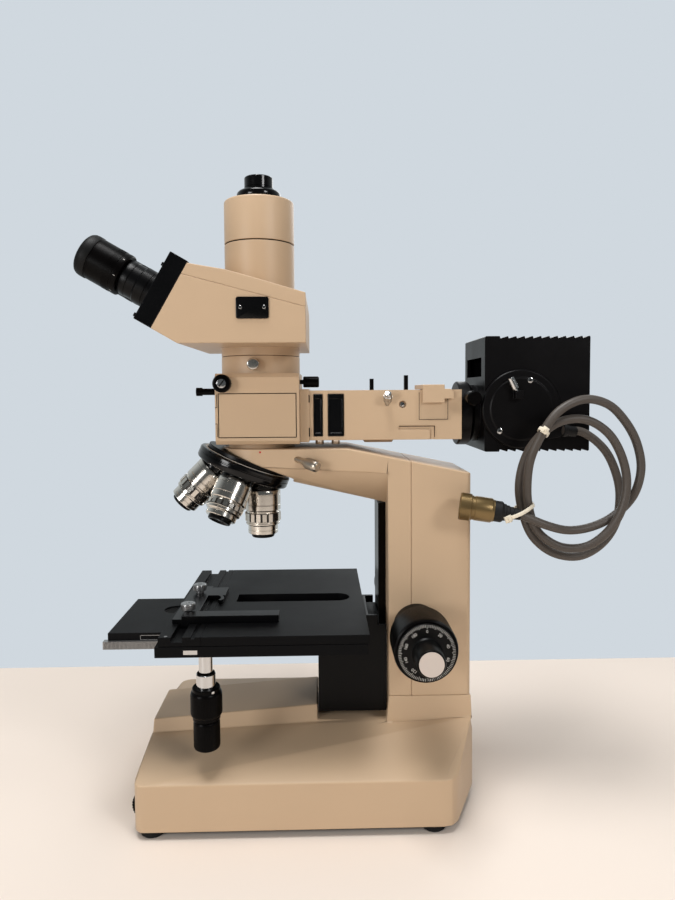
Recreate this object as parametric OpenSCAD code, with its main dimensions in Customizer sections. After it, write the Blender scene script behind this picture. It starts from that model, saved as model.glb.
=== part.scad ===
// Reflected light microscope on a cast stand, with a trinocular head,
// a quadruple nosepiece, a mechanical stage and a horizontal lamp tube.
// The rear of the stand points along +X, the sides face -Y and +Y, +Z is up.
// The origin lies on the table under the middle of the instrument.

/* [Stand] */
// Position of the vertical optical axis along X
optic_x = -60.6; // [-80:0.1:-40]
// Optical axis to the front face of the column
throat = 100.5; // [96:0.5:120]
// Optical axis to the front face of the base
base_reach = 87.5; // [80:0.5:110]
// Width of the base
base_w = 180; // [170:1:220]
// Height of the rubber feet
foot_h = 4; // [3:0.5:6]
// Radius of a rubber foot
foot_r = 9; // [6:0.5:12]
// Thickness of the bottom cover plate
base_plate_t = 1.5; // [1:0.1:2]
// Height of the crease round the sides of the base
base_side_h = 40.3; // [38:0.1:44]
// Rise of the sloped top from the crease to the ridge at the front
ridge_rise_front = 8.7; // [7:0.1:12]
// Rise of the sloped top from the crease to the ridge at the column
ridge_rise_rear = 21.7; // [20:0.1:24]
// Width of the raised ridge at its foot
ridge_w = 60; // [58:0.5:66]
// Height of the raised ridge above the slopes at the front
ridge_h = 9.6; // [7:0.1:12]
// Width of the column
column_w = 76; // [70:0.5:90]
// Depth of the column from front to rear
column_depth = 64.5; // [60:0.5:80]
// Height of the joint between base and column
column_foot_z = 79; // [77:0.5:84]
// Height of the rear top edge of the column above the table
column_top_z = 255; // [245:0.5:262]
// Depth of the front casting of the column, up to its rear cover
column_front_t = 17.8; // [14:0.2:19]
// Height of the top face of the arm above the table
arm_top_z = 274.5; // [268:0.5:300]
// Height of the upright side band of the arm
arm_band = 12.5; // [9:0.5:14]
// Radius of the round boss at the tip of the arm
arm_tip_r = 32; // [30:0.5:34]
// Radius of the brightness wheel
wheel_r = 12; // [9:0.5:13]
// Thickness of the brightness wheel
wheel_t = 6; // [4:0.5:7]

/* [Focus] */
// Height of the focusing axis
focus_z = 135; // [125:0.5:140]
// Column front face to the focusing axis
focus_back = 21.5; // [20:0.5:30]
// Radius of the coarse knobs
coarse_r = 23.4; // [20:0.2:26]
// Length of the broad part of a coarse knob
coarse_len = 31; // [25:0.5:34]
// Length of the neck between the column and the broad part
coarse_neck = 21.5; // [12:0.5:24]
// Radius of the coarse shaft
coarse_shaft_r = 6; // [5:0.25:8]
// Radius of the fine shaft
fine_shaft_r = 3; // [2.5:0.25:4]
// Radius of the graduated fine focus dial
dial_r = 20.7; // [17:0.1:22]
// Thickness of the graduated dial
dial_t = 2.4; // [1.5:0.1:4]
// Radius of the fine focus hub
fine_hub_r = 10; // [8.5:0.25:12]
// Length of the fine focus hub
fine_hub_len = 20; // [14:0.5:24]
// Radius of the white cap on the hub
cap_r = 8.6; // [7:0.1:9.4]
// Width of the focusing block
block_w = 56; // [50:0.5:58]
// Height of the top face of the focusing block
block_top_z = 132.9; // [128:0.1:133]
// Height of the focusing block
block_h = 70.1; // [62:0.1:71]
// Width of the dovetail guide at its widest
guide_w = 36; // [30:0.5:38]
// Depth of the dovetail guide
guide_t = 6.5; // [5:0.1:8]

/* [Stage] */
// Height of the top face of the stage above the table
stage_top_z = 147.5; // [144:0.5:152]
// Width of the stage
stage_w = 180; // [160:1:200]
// Optical axis to the rear edge of the stage
stage_rear = 82; // [76:0.5:84]
// Optical axis to the front edge of the top plate
stage_front = 37; // [35:0.5:38]
// Thickness of the top plate
top_plate_t = 6.5; // [6:0.1:8]
// Thickness of the fixed lower plate
lower_plate_t = 7.7; // [7:0.1:8.5]
// Width of the slot in the top plate
slot_w = 20; // [12:0.5:24]
// Optical axis to the round end of the slot
slot_reach = 71; // [55:0.5:72]
// Depth of the guide strip for the specimen holder
strip_d = 30; // [28:0.5:32]
// Length of the shelf in front of the guide strip
shelf_len = 39; // [25:0.5:45]
// Pitch of the rack teeth
rack_pitch = 0.9425; // [0.9:0.0005:1]
// Number of teeth on the pinion
pinion_teeth = 24; // [24:1:25]
// Radius of the upper stage knob
x_knob_r = 11.5; // [9:0.1:13]
// Radius of the lower stage knob
y_knob_r = 9.65; // [8:0.05:12]
// Length of the lower stage knob
y_knob_len = 20.6; // [15:0.1:22]
// Radius of the knurled thumbscrews
thumb_r = 5.6; // [4:0.1:6.5]

/* [Nosepiece] */
// Tilt of the nosepiece axis
turret_tilt = 22.5; // [20:0.5:24]
// Radius of the turning disc
turret_r = 38.8; // [36:0.1:40]
// Thickness of the rim of the turning disc
turret_rim = 9; // [7:0.1:11]
// Distance from the crossing of the axes to an objective's shoulder
shoulder_d = 54.6; // [53:0.1:58]
// Radius of an objective
objective_r = 14.6; // [12:0.1:15.2]

/* [Illuminator] */
// Width of the upright illuminator along X
box_l = 64.6; // [60:0.2:66]
// Width of the upright illuminator along Y
box_w = 76; // [70:0.5:84]
// Height of the upright illuminator
box_h = 54.7; // [50:0.1:60]
// Radius of the collar that holds the head
collar_r = 31.6; // [29:0.1:32]
// Height of the collar
collar_h = 13.9; // [12:0.1:18]
// Length of the lamp tube housing
bar_l = 120; // [118:0.5:140]
// Width of the lamp tube housing
bar_w = 56; // [50:0.5:60]
// Height of the lamp tube housing
bar_h = 39.1; // [37.5:0.1:44]
// Radius of the light path
light_r = 18; // [14:0.1:18.4]
// Length of the lamphouse
lamp_l = 82.1; // [76:0.1:100]
// Width of the lamphouse
lamp_w = 72; // [66:0.5:84]
// Height of the lamphouse
lamp_h = 89.5; // [84:0.5:100]
// Wall of the lamphouse
lamp_wall = 3; // [2:0.1:5]
// Number of cooling ribs along the lamphouse
rib_count = 11; // [8:1:12]
// Radius of the socket cover on the lamphouse
socket_r = 30.6; // [27:0.1:31]

/* [Head] */
// Width of the head
head_w = 140; // [130:1:150]
// Inclination of the eyepieces to the horizontal
eye_tilt = 30; // [25:0.5:32]
// Thickness of the black front plate
front_plate_t = 14.1; // [10:0.1:16]
// Distance between the two eyepieces
eye_spacing = 64; // [62:0.5:66]
// Radius of the eyepieces
eyepiece_r = 16.85; // [15:0.05:18]
// Length of an eyepiece outside its tube
eyepiece_len = 35.5; // [28:0.5:40]
// Radius of the eyepiece tubes
eye_tube_r = 14.7; // [13:0.1:14.9]
// Length of the eyepiece tubes
eye_tube_len = 27.7; // [22:0.1:34]
// Radius of the photo tube
photo_r = 28; // [25:0.2:30]
// Height of the top of the photo tube above the foot of the head
photo_h = 117; // [100:0.5:125]
// Bore radius of the photo port
port_bore_r = 9.5; // [8:0.1:10.5]
// Outer radius of the photo port ring
port_ring_r = 11.5; // [11:0.1:13]

/* [Lamp cable] */
// Diameter of the lamp cable
cable_d = 6.5; // [5:0.1:6.6]

/* [Hidden] */

$fn = 64;
eps = 0.01;
// Gap between sliding flat faces, gap round a piece that only has to stay clear, and shaft play
slide_gap = 0.3;
clear_gap = 0.4;
shaft_play = 0.05;

// Heights that follow from the arm
box_z = arm_top_z + 4.1;
box_top_z = box_z + box_h;
beam_z = box_z + 21.9;
apex_z = arm_top_z + 20.1;
head_z = box_top_z + collar_h + slide_gap + 6.4;
bar_z = box_z + 2.2;

// Places along X
base_x0 = optic_x - base_reach;
column_x = optic_x + throat;
column_rear_x = column_x + column_depth;
base_x1 = column_rear_x + 1.5;
seam_x = column_x + column_front_t;
focus_x = column_x + focus_back;
bar_x = optic_x + box_l / 2;
lamp_ring_x = bar_x + 7.2 + bar_l;
lamp_x = lamp_ring_x + 16;

casting_z = foot_h + base_plate_t;
ridge_z_front = base_side_h + ridge_rise_front;
ridge_z_rear = base_side_h + ridge_rise_rear;
notch_z = base_side_h + 16.7;
corner_r = 8;
rear_corner_l = 22.5;

function at(x, z) = [optic_x + x, z];

// A plate in the XZ plane, given its outline, between two Y positions
module side_plate(points, y0, y1) {
    translate([0, y1, 0]) rotate([90, 0, 0]) linear_extrude(y1 - y0) polygon(points);
}

module box_between(low, high) {
    translate(low) cube(high - low);
}

// A cylinder along Y between two Y positions
module y_rod(x, z, r, y0, y1) {
    translate([x, y1, z]) rotate([90, 0, 0]) cylinder(r = r, h = y1 - y0);
}

// A cylinder along X between two X positions
module x_rod(y, z, r, x0, x1) {
    translate([x0, y, z]) rotate([0, 90, 0]) cylinder(r = r, h = x1 - x0);
}

// Plan of the base, with rounded front corners and slanted rear sides
module base_plan(inset = 0) {
    half = base_w / 2 - inset;
    x0 = base_x0 + inset;
    x1 = base_x1 - inset;
    rear_half = column_w / 2 - inset;
    corner_x = base_x1 - rear_corner_l - inset;
    round_r = corner_r - inset / 2;
    polygon(concat(
        [for (a = [270:-15:180]) [x0 + round_r + round_r * cos(a), -half + round_r + round_r * sin(a)]],
        [for (a = [180:-15:90]) [x0 + round_r + round_r * cos(a), half - round_r + round_r * sin(a)]],
        [[corner_x - 9, half], [corner_x - 2.5, half - 1.5], [corner_x + 2.5, half - 6.5]],
        [[x1, rear_half], [x1, -rear_half]],
        [[corner_x + 2.5, -half + 6.5], [corner_x - 2.5, -half + 1.5], [corner_x - 9, -half]]));
}

// A wedge shaped bar that rises to the rear, used for the foot and the top of the ridge
module ridge_bar(half_front, half_rear, z0, z_front, z_rear, x1) {
    hull() {
        box_between([base_x0, -half_front, z0], [base_x0 + 0.2, half_front, z_front]);
        box_between([x1 - 0.2, -half_rear, z0], [x1, half_rear, z_rear]);
    }
}

ridge_top_half = ridge_w / 2 - 3;
wheel_x = base_x0 + wheel_r - 3;
wheel_y = -base_w / 2 + 12.5;
wheel_z = casting_z + 15.5;
wheel_pin_r = 1.5;

module base_casting() {
    front_block_x = optic_x + block_front - 1;
    notch_half = block_w / 2 + 4;
    color([0.77, 0.65, 0.52]) difference() {
        union() {
            translate([0, 0, casting_z]) linear_extrude(base_side_h - casting_z) base_plan();
            // Slopes from the crease up to the ridge
            hull() {
                translate([0, 0, base_side_h - eps]) linear_extrude(eps) base_plan();
                box_between([base_x0, -ridge_w / 2, base_side_h], [base_x0 + 0.2, ridge_w / 2, ridge_z_front]);
                box_between([base_x1 - 0.2, -column_w / 2, base_side_h], [base_x1, column_w / 2, ridge_z_rear]);
            }
            // Raised ridge
            hull() {
                side_plate([[base_x0, base_side_h], [base_x0, ridge_z_front],
                    [column_x, ridge_z_rear], [column_x, base_side_h]], -ridge_w / 2, ridge_w / 2);
                side_plate([[base_x0 + 0.6, base_side_h], [base_x0 + 0.6, ridge_z_front + ridge_h],
                    [column_x, ridge_z_front + ridge_h + 13.9], [column_x, base_side_h]],
                    -ridge_top_half, ridge_top_half);
            }
            // Foot of the column
            hull() {
                box_between([column_x - 2.4, -column_w / 2 - 0.8, base_side_h + 12],
                    [base_x1, column_w / 2 + 0.8, base_side_h + 12.1]);
                box_between([column_x, -column_w / 2, column_foot_z - 0.1],
                    [column_rear_x + 0.3, column_w / 2, column_foot_z]);
            }
        }
        // Notch that the focusing block runs down into
        box_between([front_block_x, -notch_half, notch_z], [column_x, notch_half, notch_z + 40]);
        // Hollow underside
        box_between([base_x0 + 24, -base_w / 2 + 22, -1], [base_x1 - 30, base_w / 2 - 22, base_side_h - 5]);
        // Pocket and bearings of the brightness wheel
        y_rod(wheel_x, wheel_z, wheel_r + 1, wheel_y - wheel_t / 2 - 0.6, wheel_y + wheel_t / 2 + 0.6);
        y_rod(wheel_x, wheel_z, wheel_pin_r + shaft_play, wheel_y - wheel_t / 2 - 3, wheel_y + wheel_t / 2 + 3);
    }
}

module base_plate() {
    color([0.1, 0.1, 0.1])
        translate([0, 0, foot_h]) linear_extrude(base_plate_t) base_plan(2.5);
}

module rubber_feet() {
    inset = 11;
    color([0.05, 0.05, 0.05])
        for (x = [base_x0 + inset + 1, base_x1 - rear_corner_l - inset - 4], side = [-1, 1])
            translate([x, side * (base_w / 2 - inset), 0]) rotate_extrude()
                polygon([[0, 0], [foot_r - 1, 0], [foot_r, 1], [foot_r - 0.5, foot_h], [0, foot_h]]);
}

module brightness_wheel() {
    ridges = 36;
    color([0.08, 0.08, 0.08]) {
        translate([wheel_x, wheel_y + wheel_t / 2, wheel_z]) rotate([90, 0, 0]) linear_extrude(wheel_t)
            polygon([for (i = [0:2 * ridges - 1])
                (wheel_r - 0.6 * (i % 2)) * [cos(i * 180 / ridges), sin(i * 180 / ridges)]]);
        y_rod(wheel_x, wheel_z, wheel_pin_r, wheel_y - wheel_t / 2 - 2.6, wheel_y + wheel_t / 2 + 2.6);
    }
}

// Height of the sloping arm top at a place along X
arm_flat_x = optic_x + 70;
function arm_slope(x) = (arm_top_z - column_top_z) / (column_rear_x - arm_flat_x) * (x - arm_flat_x);
function arm_z(x) = arm_top_z - max(0, arm_slope(x));
arm_under_z = column_top_z - 24;

module turret_place(z = 0) {
    translate([optic_x, 0, apex_z]) rotate([0, turret_tilt, 0]) translate([0, 0, z]) children();
}

// The clamp lever leaves the arm tip towards the near side
module clamp_place() {
    translate([optic_x + 22, -25.5, arm_top_z - 5.5]) rotate([0, 102.7, -41.3]) children();
}

mount_top = -30.7;

module arm_casting() {
    shaft_clear = coarse_shaft_r + 3;
    color([0.77, 0.65, 0.52]) difference() {
        union() {
            // Leg of the column
            side_plate([[column_x, column_foot_z], [column_x, arm_z(column_x)], [seam_x, arm_z(seam_x)],
                [seam_x, column_foot_z]], -column_w / 2, column_w / 2);
            // Upright band of the arm, with its round tip
            intersection() {
                side_plate([[optic_x - 40, arm_top_z], [arm_flat_x, arm_top_z], [column_x + 1, arm_z(column_x + 1)],
                    [column_x + 1, arm_z(column_x) - arm_band], [optic_x - 40, arm_top_z - arm_band]],
                    -column_w, column_w);
                linear_extrude(arm_top_z + 1) hull() {
                    translate([optic_x, 0]) circle(arm_tip_r, $fn = 48);
                    translate([column_x, -column_w / 2]) square([1, column_w]);
                }
            }
            // Underside, drawn in towards its lower face
            hull() {
                translate([optic_x, 0, arm_top_z - arm_band]) cylinder(r = arm_tip_r, h = eps, $fn = 48);
                translate([optic_x, 0, arm_top_z - arm_band - 4]) cylinder(r = arm_tip_r - 5, h = eps, $fn = 48);
                box_between([column_x, -column_w / 2, arm_z(column_x) - arm_band - eps],
                    [column_x + 1, column_w / 2, arm_z(column_x) - arm_band]);
                box_between([column_x, -column_w / 2 + 12, arm_under_z],
                    [column_x + 1, column_w / 2 - 12, arm_under_z + eps]);
            }
        }
        // Slanted seat of the nosepiece
        turret_place() box_between([-70, -50, mount_top - 60], [42, 50, mount_top]);
        // Light path
        translate([optic_x, 0, arm_top_z - 60]) cylinder(r = 14, h = 61);
        // Seat of the clamp lever
        clamp_place() translate([0, 0, -10]) cylinder(r = clamp_rod_r + shaft_play, h = 30);
        // Room for the coarse shaft
        y_rod(focus_x, focus_z, shaft_clear, -column_w, column_w);
    }
}

module column_cover() {
    edge_r = 4;
    color([0.75, 0.63, 0.5]) difference() {
        intersection() {
            side_plate([[seam_x, column_foot_z], [seam_x, arm_z(seam_x)], [column_rear_x, column_top_z],
                [column_rear_x, column_foot_z]], -column_w / 2, column_w / 2);
            // Rounded rear edges
            translate([0, 0, column_foot_z - 1]) linear_extrude(arm_top_z) polygon(concat(
                [[seam_x, -column_w / 2]],
                [for (a = [-90:15:0]) [column_rear_x - edge_r + edge_r * cos(a), -column_w / 2 + edge_r + edge_r * sin(a)]],
                [for (a = [0:15:90]) [column_rear_x - edge_r + edge_r * cos(a), column_w / 2 - edge_r + edge_r * sin(a)]],
                [[seam_x, column_w / 2]]));
        }
        // Bearings of the coarse shaft
        y_rod(focus_x, focus_z, coarse_shaft_r + shaft_play, -column_w, column_w);
        // Hollow inside
        box_between([focus_x + coarse_shaft_r + 3, -column_w / 2 + 5, column_foot_z + 8],
            [column_rear_x - 4, column_w / 2 - 5, column_top_z - 8]);
    }
}

// Front edge of the focusing block, and the dovetail guide behind it
block_front = 45;
guide_x = column_x - guide_t;
guide_z1 = arm_under_z - 2;

// Plan of the dovetail guide, grown by a gap where a piece runs on it
module guide_plan(gap = 0) {
    polygon([[column_x, -guide_w / 2 + 5 - gap], [guide_x - gap, -guide_w / 2 - gap],
        [guide_x - gap, guide_w / 2 + gap], [column_x, guide_w / 2 - 5 + gap]]);
}

module guide_rail() {
    color([0.12, 0.12, 0.12]) translate([0, 0, notch_z + 0.5])
        linear_extrude(guide_z1 - notch_z - 0.5) guide_plan();
}

carriage_w = guide_w + 12;
carriage_x = guide_x - 8;
block_z = block_top_z - block_h;

module coarse_carriage() {
    color([0.35, 0.35, 0.36]) difference() {
        box_between([carriage_x, -carriage_w / 2, block_z + 3], [column_x - 0.5, carriage_w / 2, block_top_z - 3]);
        translate([0, 0, block_z]) linear_extrude(block_h + 1) guide_plan(slide_gap);
        box_between([column_x - guide_t / 2, -guide_w / 2 + 2, block_z], [column_x, guide_w / 2 - 2, block_top_z]);
    }
}

coarse_y0 = column_w / 2 + 0.5;
coarse_y1 = coarse_y0 + coarse_neck;
coarse_y2 = coarse_y1 + coarse_len;

module coarse_knobs() {
    bore = fine_shaft_r + shaft_play;
    color([0.07, 0.07, 0.07]) translate([focus_x, 0, focus_z]) {
        for (side = [90, -90]) rotate([side, 0, 0]) rotate_extrude() polygon([
            [bore, 0], [coarse_shaft_r, 0], [coarse_shaft_r, coarse_y0], [coarse_r - 5.4, coarse_y0],
            [coarse_r - 5.4, coarse_y1 - 6], [coarse_r - 1.5, coarse_y1 - 4], [coarse_r - 1.5, coarse_y1 - 0.5],
            [coarse_r, coarse_y1 + 0.5], [coarse_r, coarse_y2 - 1], [coarse_r - 1, coarse_y2], [bore, coarse_y2]]);
    }
}

dial_y0 = coarse_y2 + slide_gap;
dial_y1 = dial_y0 + dial_t;
hub_y1 = dial_y1 + fine_hub_len;

module fine_knobs() {
    color([0.06, 0.06, 0.06]) translate([focus_x, 0, focus_z])
        for (side = [90, -90]) rotate([side, 0, 0]) rotate_extrude() polygon([
            [0, 0], [fine_shaft_r, 0], [fine_shaft_r, dial_y0], [dial_r, dial_y0], [dial_r, dial_y1],
            [fine_hub_r + 1, dial_y1], [fine_hub_r, dial_y1 + 1.5], [fine_hub_r, hub_y1 - 0.5],
            [fine_hub_r - 0.5, hub_y1], [0, hub_y1]]);
}

module knob_caps() {
    cap_t = 0.8;
    color([0.9, 0.86, 0.8])
        for (side = [-1, 1]) {
            y = side * hub_y1;
            y_rod(focus_x, focus_z, cap_r, min(y, y + side * cap_t), max(y, y + side * cap_t));
        }
}

module focus_block() {
    color([0.08, 0.08, 0.08]) difference() {
        union() {
            box_between([optic_x + block_front, -block_w / 2, block_z], [column_x - 1, block_w / 2, block_top_z]);
            // Bracket beside the guide, level with the lower stage plate
            box_between([optic_x + stage_rear + 1, -block_w / 2, block_top_z - 1],
                [guide_x - 1.2, block_w / 2, top_plate_z - slide_gap]);
        }
        box_between([carriage_x - slide_gap, -carriage_w / 2 - slide_gap, block_z - 1],
            [column_x, carriage_w / 2 + slide_gap, block_top_z + 20]);
    }
}

// Levels of the stage
top_plate_z = stage_top_z - top_plate_t;
lower_plate_z = top_plate_z - slide_gap - lower_plate_t;
pinion_r = rack_pitch * pinion_teeth / (2 * PI);
tooth_add = 0.25;
tooth_ded = 0.35;
stage_knob_x = optic_x - 35;
stage_knob_y = -stage_w / 2 + 7.4;
rack_y = stage_knob_y + pinion_r;
rack_t = 5;
rack_z = lower_plate_z + 2.4;
strip_x = optic_x - stage_front - strip_d;
bearing_r = 4.85;
spindle_r = 2;
knob_bearing_h = 13;

module stage_base() {
    color([0.07, 0.07, 0.07]) difference() {
        union() {
            difference() {
                box_between([strip_x - 2.6, -stage_w / 2, lower_plate_z],
                    [optic_x + stage_rear - 1, stage_w / 2, top_plate_z - slide_gap]);
                // Channel of the rack and pocket of the pinion
                box_between([strip_x - 10, rack_y - tooth_add - slide_gap, rack_z - slide_gap],
                    [optic_x + 21, rack_y + rack_t + slide_gap, top_plate_z]);
                translate([stage_knob_x, stage_knob_y, rack_z - slide_gap])
                    cylinder(r = pinion_r + tooth_add + clear_gap, h = 20);
                // Light slot below the slot of the top plate
                translate([optic_x, 0, lower_plate_z - 1]) cylinder(r = slot_w / 2, h = lower_plate_t + 2);
            }
            // Bearing tube of the coaxial knobs
            translate([stage_knob_x, stage_knob_y, lower_plate_z - knob_bearing_h])
                cylinder(r = bearing_r, h = knob_bearing_h + 0.5);
        }
        translate([stage_knob_x, stage_knob_y, lower_plate_z - 30])
            cylinder(r = spindle_r + shaft_play, h = 40);
    }
}

module stage_top() {
    color([0.09, 0.09, 0.1]) difference() {
        box_between([optic_x - stage_front, -stage_w / 2, top_plate_z], [optic_x + stage_rear, stage_w / 2, stage_top_z]);
        box_between([optic_x - 22, -slot_w / 2, top_plate_z - 1],
            [optic_x + slot_reach - slot_w / 2, slot_w / 2, stage_top_z + 1]);
        translate([optic_x + slot_reach - slot_w / 2, 0, top_plate_z - 1])
            cylinder(r = slot_w / 2, h = top_plate_t + 2);
    }
}

groove_x0 = strip_x + 9;
groove_x1 = strip_x + 17;
groove_z = top_plate_z + 3;
shelf_x0 = strip_x - shelf_len;
shelf_y0 = rack_y + 2.6;
shelf_y1 = 5;

module holder_rail() {
    color([0.1, 0.1, 0.1]) difference() {
        union() {
            box_between([strip_x, -stage_w / 2, top_plate_z], [optic_x - stage_front, stage_w / 2, stage_top_z]);
            box_between([shelf_x0, shelf_y0, top_plate_z], [strip_x, shelf_y1, stage_top_z - 1]);
        }
        // Groove of the specimen holder and the step beside it
        box_between([groove_x0, -stage_w, groove_z], [groove_x1, stage_w, stage_top_z + 1]);
        box_between([optic_x - stage_front - 7, -stage_w, stage_top_z - 1.2],
            [optic_x - stage_front - 4.5, stage_w, stage_top_z + 1]);
        // Half round notch in the shelf
        translate([strip_x - 1, -24, stage_top_z - 2.4]) cylinder(r = 9, h = 3);
    }
}

// One straight row of teeth, its pitch line on y = 0, the teeth towards -Y
module rack_profile(x0, x1, phase_x) {
    first = ceil((x0 - phase_x) / rack_pitch);
    last = floor((x1 - phase_x) / rack_pitch) - 1;
    polygon(concat(
        [[x0, rack_t], [x0, tooth_ded]],
        [for (i = [first:last], p = [0:3])
            let (left = phase_x + i * rack_pitch)
            [left + rack_pitch * [0.26, 0.38, 0.62, 0.74][p], [tooth_ded, -tooth_add, -tooth_add, tooth_ded][p]]],
        [[x1, tooth_ded], [x1, rack_t]]));
}

module stage_rack() {
    color([0.45, 0.46, 0.46]) translate([0, rack_y, rack_z]) linear_extrude(top_plate_z - rack_z)
        rack_profile(shelf_x0 - 3, optic_x + 8, stage_knob_x);
}

upper_knob_z1 = lower_plate_z - knob_bearing_h - slide_gap;
upper_knob_z0 = upper_knob_z1 - 34.4;
collar_sleeve_h = 8;

module pinion() {
    points = [for (i = [0:pinion_teeth - 1], p = [0:3])
        let (r = [pinion_r - tooth_ded, pinion_r + tooth_add, pinion_r + tooth_add, pinion_r - tooth_ded][p],
            a = 90 + (i + [-0.25, -0.11, 0.11, 0.25][p]) * 360 / pinion_teeth)
        r * [cos(a), sin(a)]];
    polygon(points);
}

module y_knob() {
    z1 = upper_knob_z0 - slide_gap;
    color([0.07, 0.07, 0.07]) translate([stage_knob_x, stage_knob_y, 0]) {
        translate([0, 0, z1 - y_knob_len]) rotate_extrude() polygon([[0, 0], [y_knob_r - 1.2, 0], [y_knob_r, 1.2],
            [y_knob_r, y_knob_len - 1], [y_knob_r - 1, y_knob_len], [0, y_knob_len]]);
        translate([0, 0, z1 - 1]) cylinder(r = spindle_r, h = rack_z - z1 + 2);
        translate([0, 0, rack_z]) linear_extrude(4.8) pinion();
    }
}

module x_knob() {
    bore = spindle_r + shaft_play;
    sleeve_r = 6.2;
    h = upper_knob_z1 - upper_knob_z0;
    color([0.07, 0.07, 0.07]) translate([stage_knob_x, stage_knob_y, upper_knob_z0]) rotate_extrude() polygon([
        [bore, 0], [x_knob_r - 1.6, 0], [x_knob_r - 1.6, 3], [x_knob_r, 5], [x_knob_r, h - 12],
        [x_knob_r - 1.4, h - 10.5], [x_knob_r - 1.4, h - collar_sleeve_h], [sleeve_r, h - collar_sleeve_h],
        [sleeve_r, h - 0.5], [sleeve_r - 0.5, h], [bore, h]]);
}

// Specimen holder: a slider in the groove, with a fixed arm and a clamping finger
holder_z = stage_top_z + slide_gap;
thumb_x = groove_x0 + 4;
thumb_near_y = -46;
thumb_far_y = 5;
holder_t = 3.2;

module specimen_holder() {
    arm_x1 = optic_x + 16;
    color([0.06, 0.06, 0.06]) difference() {
        union() {
            // Tongue in the groove
            box_between([groove_x0 + slide_gap, -62, groove_z + slide_gap], [groove_x1 - slide_gap, 24, holder_z + eps]);
            box_between([groove_x0 - 5, -62, holder_z], [groove_x1 + 4, 24, holder_z + holder_t]);
            // Near arm
            box_between([groove_x1 - 6, -62, holder_z], [arm_x1, -50, holder_z + 5.5]);
            // Far plate with the curved finger
            box_between([groove_x1 - 6, -3, holder_z], [optic_x - 32, 20, holder_z + holder_t]);
            translate([optic_x - 44, -10, holder_z]) rotate_extrude(angle = 85, start = -32)
                translate([9.5, 0]) square([2.6, holder_t]);
        }
        for (y = [thumb_near_y, thumb_far_y])
            translate([thumb_x, y, groove_z]) cylinder(r = 1.5 + shaft_play, h = 20);
    }
}

module thumbscrew(y) {
    color([0.78, 0.78, 0.78]) translate([thumb_x, y, holder_z + holder_t]) {
        translate([0, 0, -5]) cylinder(r = 1.5, h = 6);
        translate([0, 0, slide_gap]) rotate_extrude() polygon([[0, 0], [3.4, 0], [3.4, 2], [thumb_r, 2.6],
            [thumb_r, 6.4], [thumb_r - 0.8, 7.2], [0, 7.2]]);
    }
}

module thumbscrew_near() { thumbscrew(thumb_near_y); }
module thumbscrew_far() { thumbscrew(thumb_far_y); }

// Nosepiece, in its own frame with the turning axis along Z
pivot_r = 4;
light_hole_r = 7.5;
turret_top = mount_top - 4.3;

module nosepiece_mount() {
    color([0.14, 0.14, 0.14]) turret_place() {
        difference() {
            translate([0, 0, turret_top + slide_gap]) cylinder(r = 33, h = mount_top - turret_top - slide_gap);
            rotate([0, -turret_tilt, 0]) translate([0, 0, -80]) cylinder(r = light_hole_r, h = 60);
        }
        translate([0, 0, turret_top - turret_rim - 6]) cylinder(r = pivot_r, h = turret_rim + 7);
    }
}

// Turns its children to one of the four objective seats
module objective_place(turn) {
    turret_place() rotate([0, 0, turn]) rotate([0, -turret_tilt, 0]) translate([0, 0, -shoulder_d]) children();
}

thread_r = 10;
thread_l = 4.5;
spot_depth = 3;

module nosepiece_turret() {
    color([0.07, 0.07, 0.07]) difference() {
        union() {
            turret_place(turret_top) rotate_extrude() polygon([[0, 0], [turret_r - 1, 0], [turret_r, -1],
                [turret_r, -turret_rim + 1], [turret_r - 1.5, -turret_rim], [turret_r - 9, -turret_rim - 3.5],
                [12, -turret_rim - 5], [0, -turret_rim - 5]]);
            for (turn = [0:90:270]) objective_place(turn) cylinder(r = objective_r - 0.8, h = 9);
        }
        for (turn = [0:90:270]) objective_place(turn) {
            // Spot face below the seat, wider than the objective
            translate([0, 0, -spot_depth]) cylinder(r = objective_r + clear_gap, h = spot_depth);
            translate([0, 0, -1]) cylinder(r = thread_r + shaft_play, h = thread_l + 1.2);
            cylinder(r = light_hole_r, h = 40);
        }
        turret_place(turret_top - 60) cylinder(r = pivot_r + shaft_play, h = 70);
    }
}

// An objective below its shoulder, with a knurled band and a bare front lens tube
module objective(turn, len, shade) {
    k = len - 40.4;
    color(shade) objective_place(turn) rotate_extrude() polygon([[5, thread_l], [thread_r, thread_l], [thread_r, 0],
        [objective_r - 1, 0], [objective_r, -1], [objective_r, -17.5], [objective_r - 0.8, -18.2],
        [objective_r - 0.8, -19], [objective_r, -19.6], [objective_r, -27.6 - k / 2], [objective_r - 1.2, -28.4 - k / 2],
        [12.2, -29 - k / 2], [12.2, -36.8 - k], [11, -37.4 - k], [9.35, -37.6 - k], [9.35, -40 - k],
        [8.6, -40.4 - k], [4.2, -40.4 - k], [3, -38.5 - k], [0, -38.5 - k], [0, -20], [5, -20]]);
}

module objective_in_use() { objective(0, 40.4, [0.75, 0.75, 0.74]); }
module objective_front() { objective(180, 40, [0.74, 0.74, 0.73]); }
module objective_near() { objective(270, 34.6, [0.76, 0.76, 0.75]); }
module objective_far() { objective(90, 39, [0.72, 0.72, 0.71]); }

clamp_rod_r = 2;

module nosepiece_clamp() {
    color([0.7, 0.68, 0.66]) clamp_place() {
        translate([0, 0, -8]) cylinder(r = clamp_rod_r, h = 27);
        translate([0, 0, 19]) rotate_extrude() polygon([[0, 0], [3.2, 0], [4.7, 1.2], [4.7, 13], [3.9, 14], [0, 14]]);
    }
}

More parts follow.
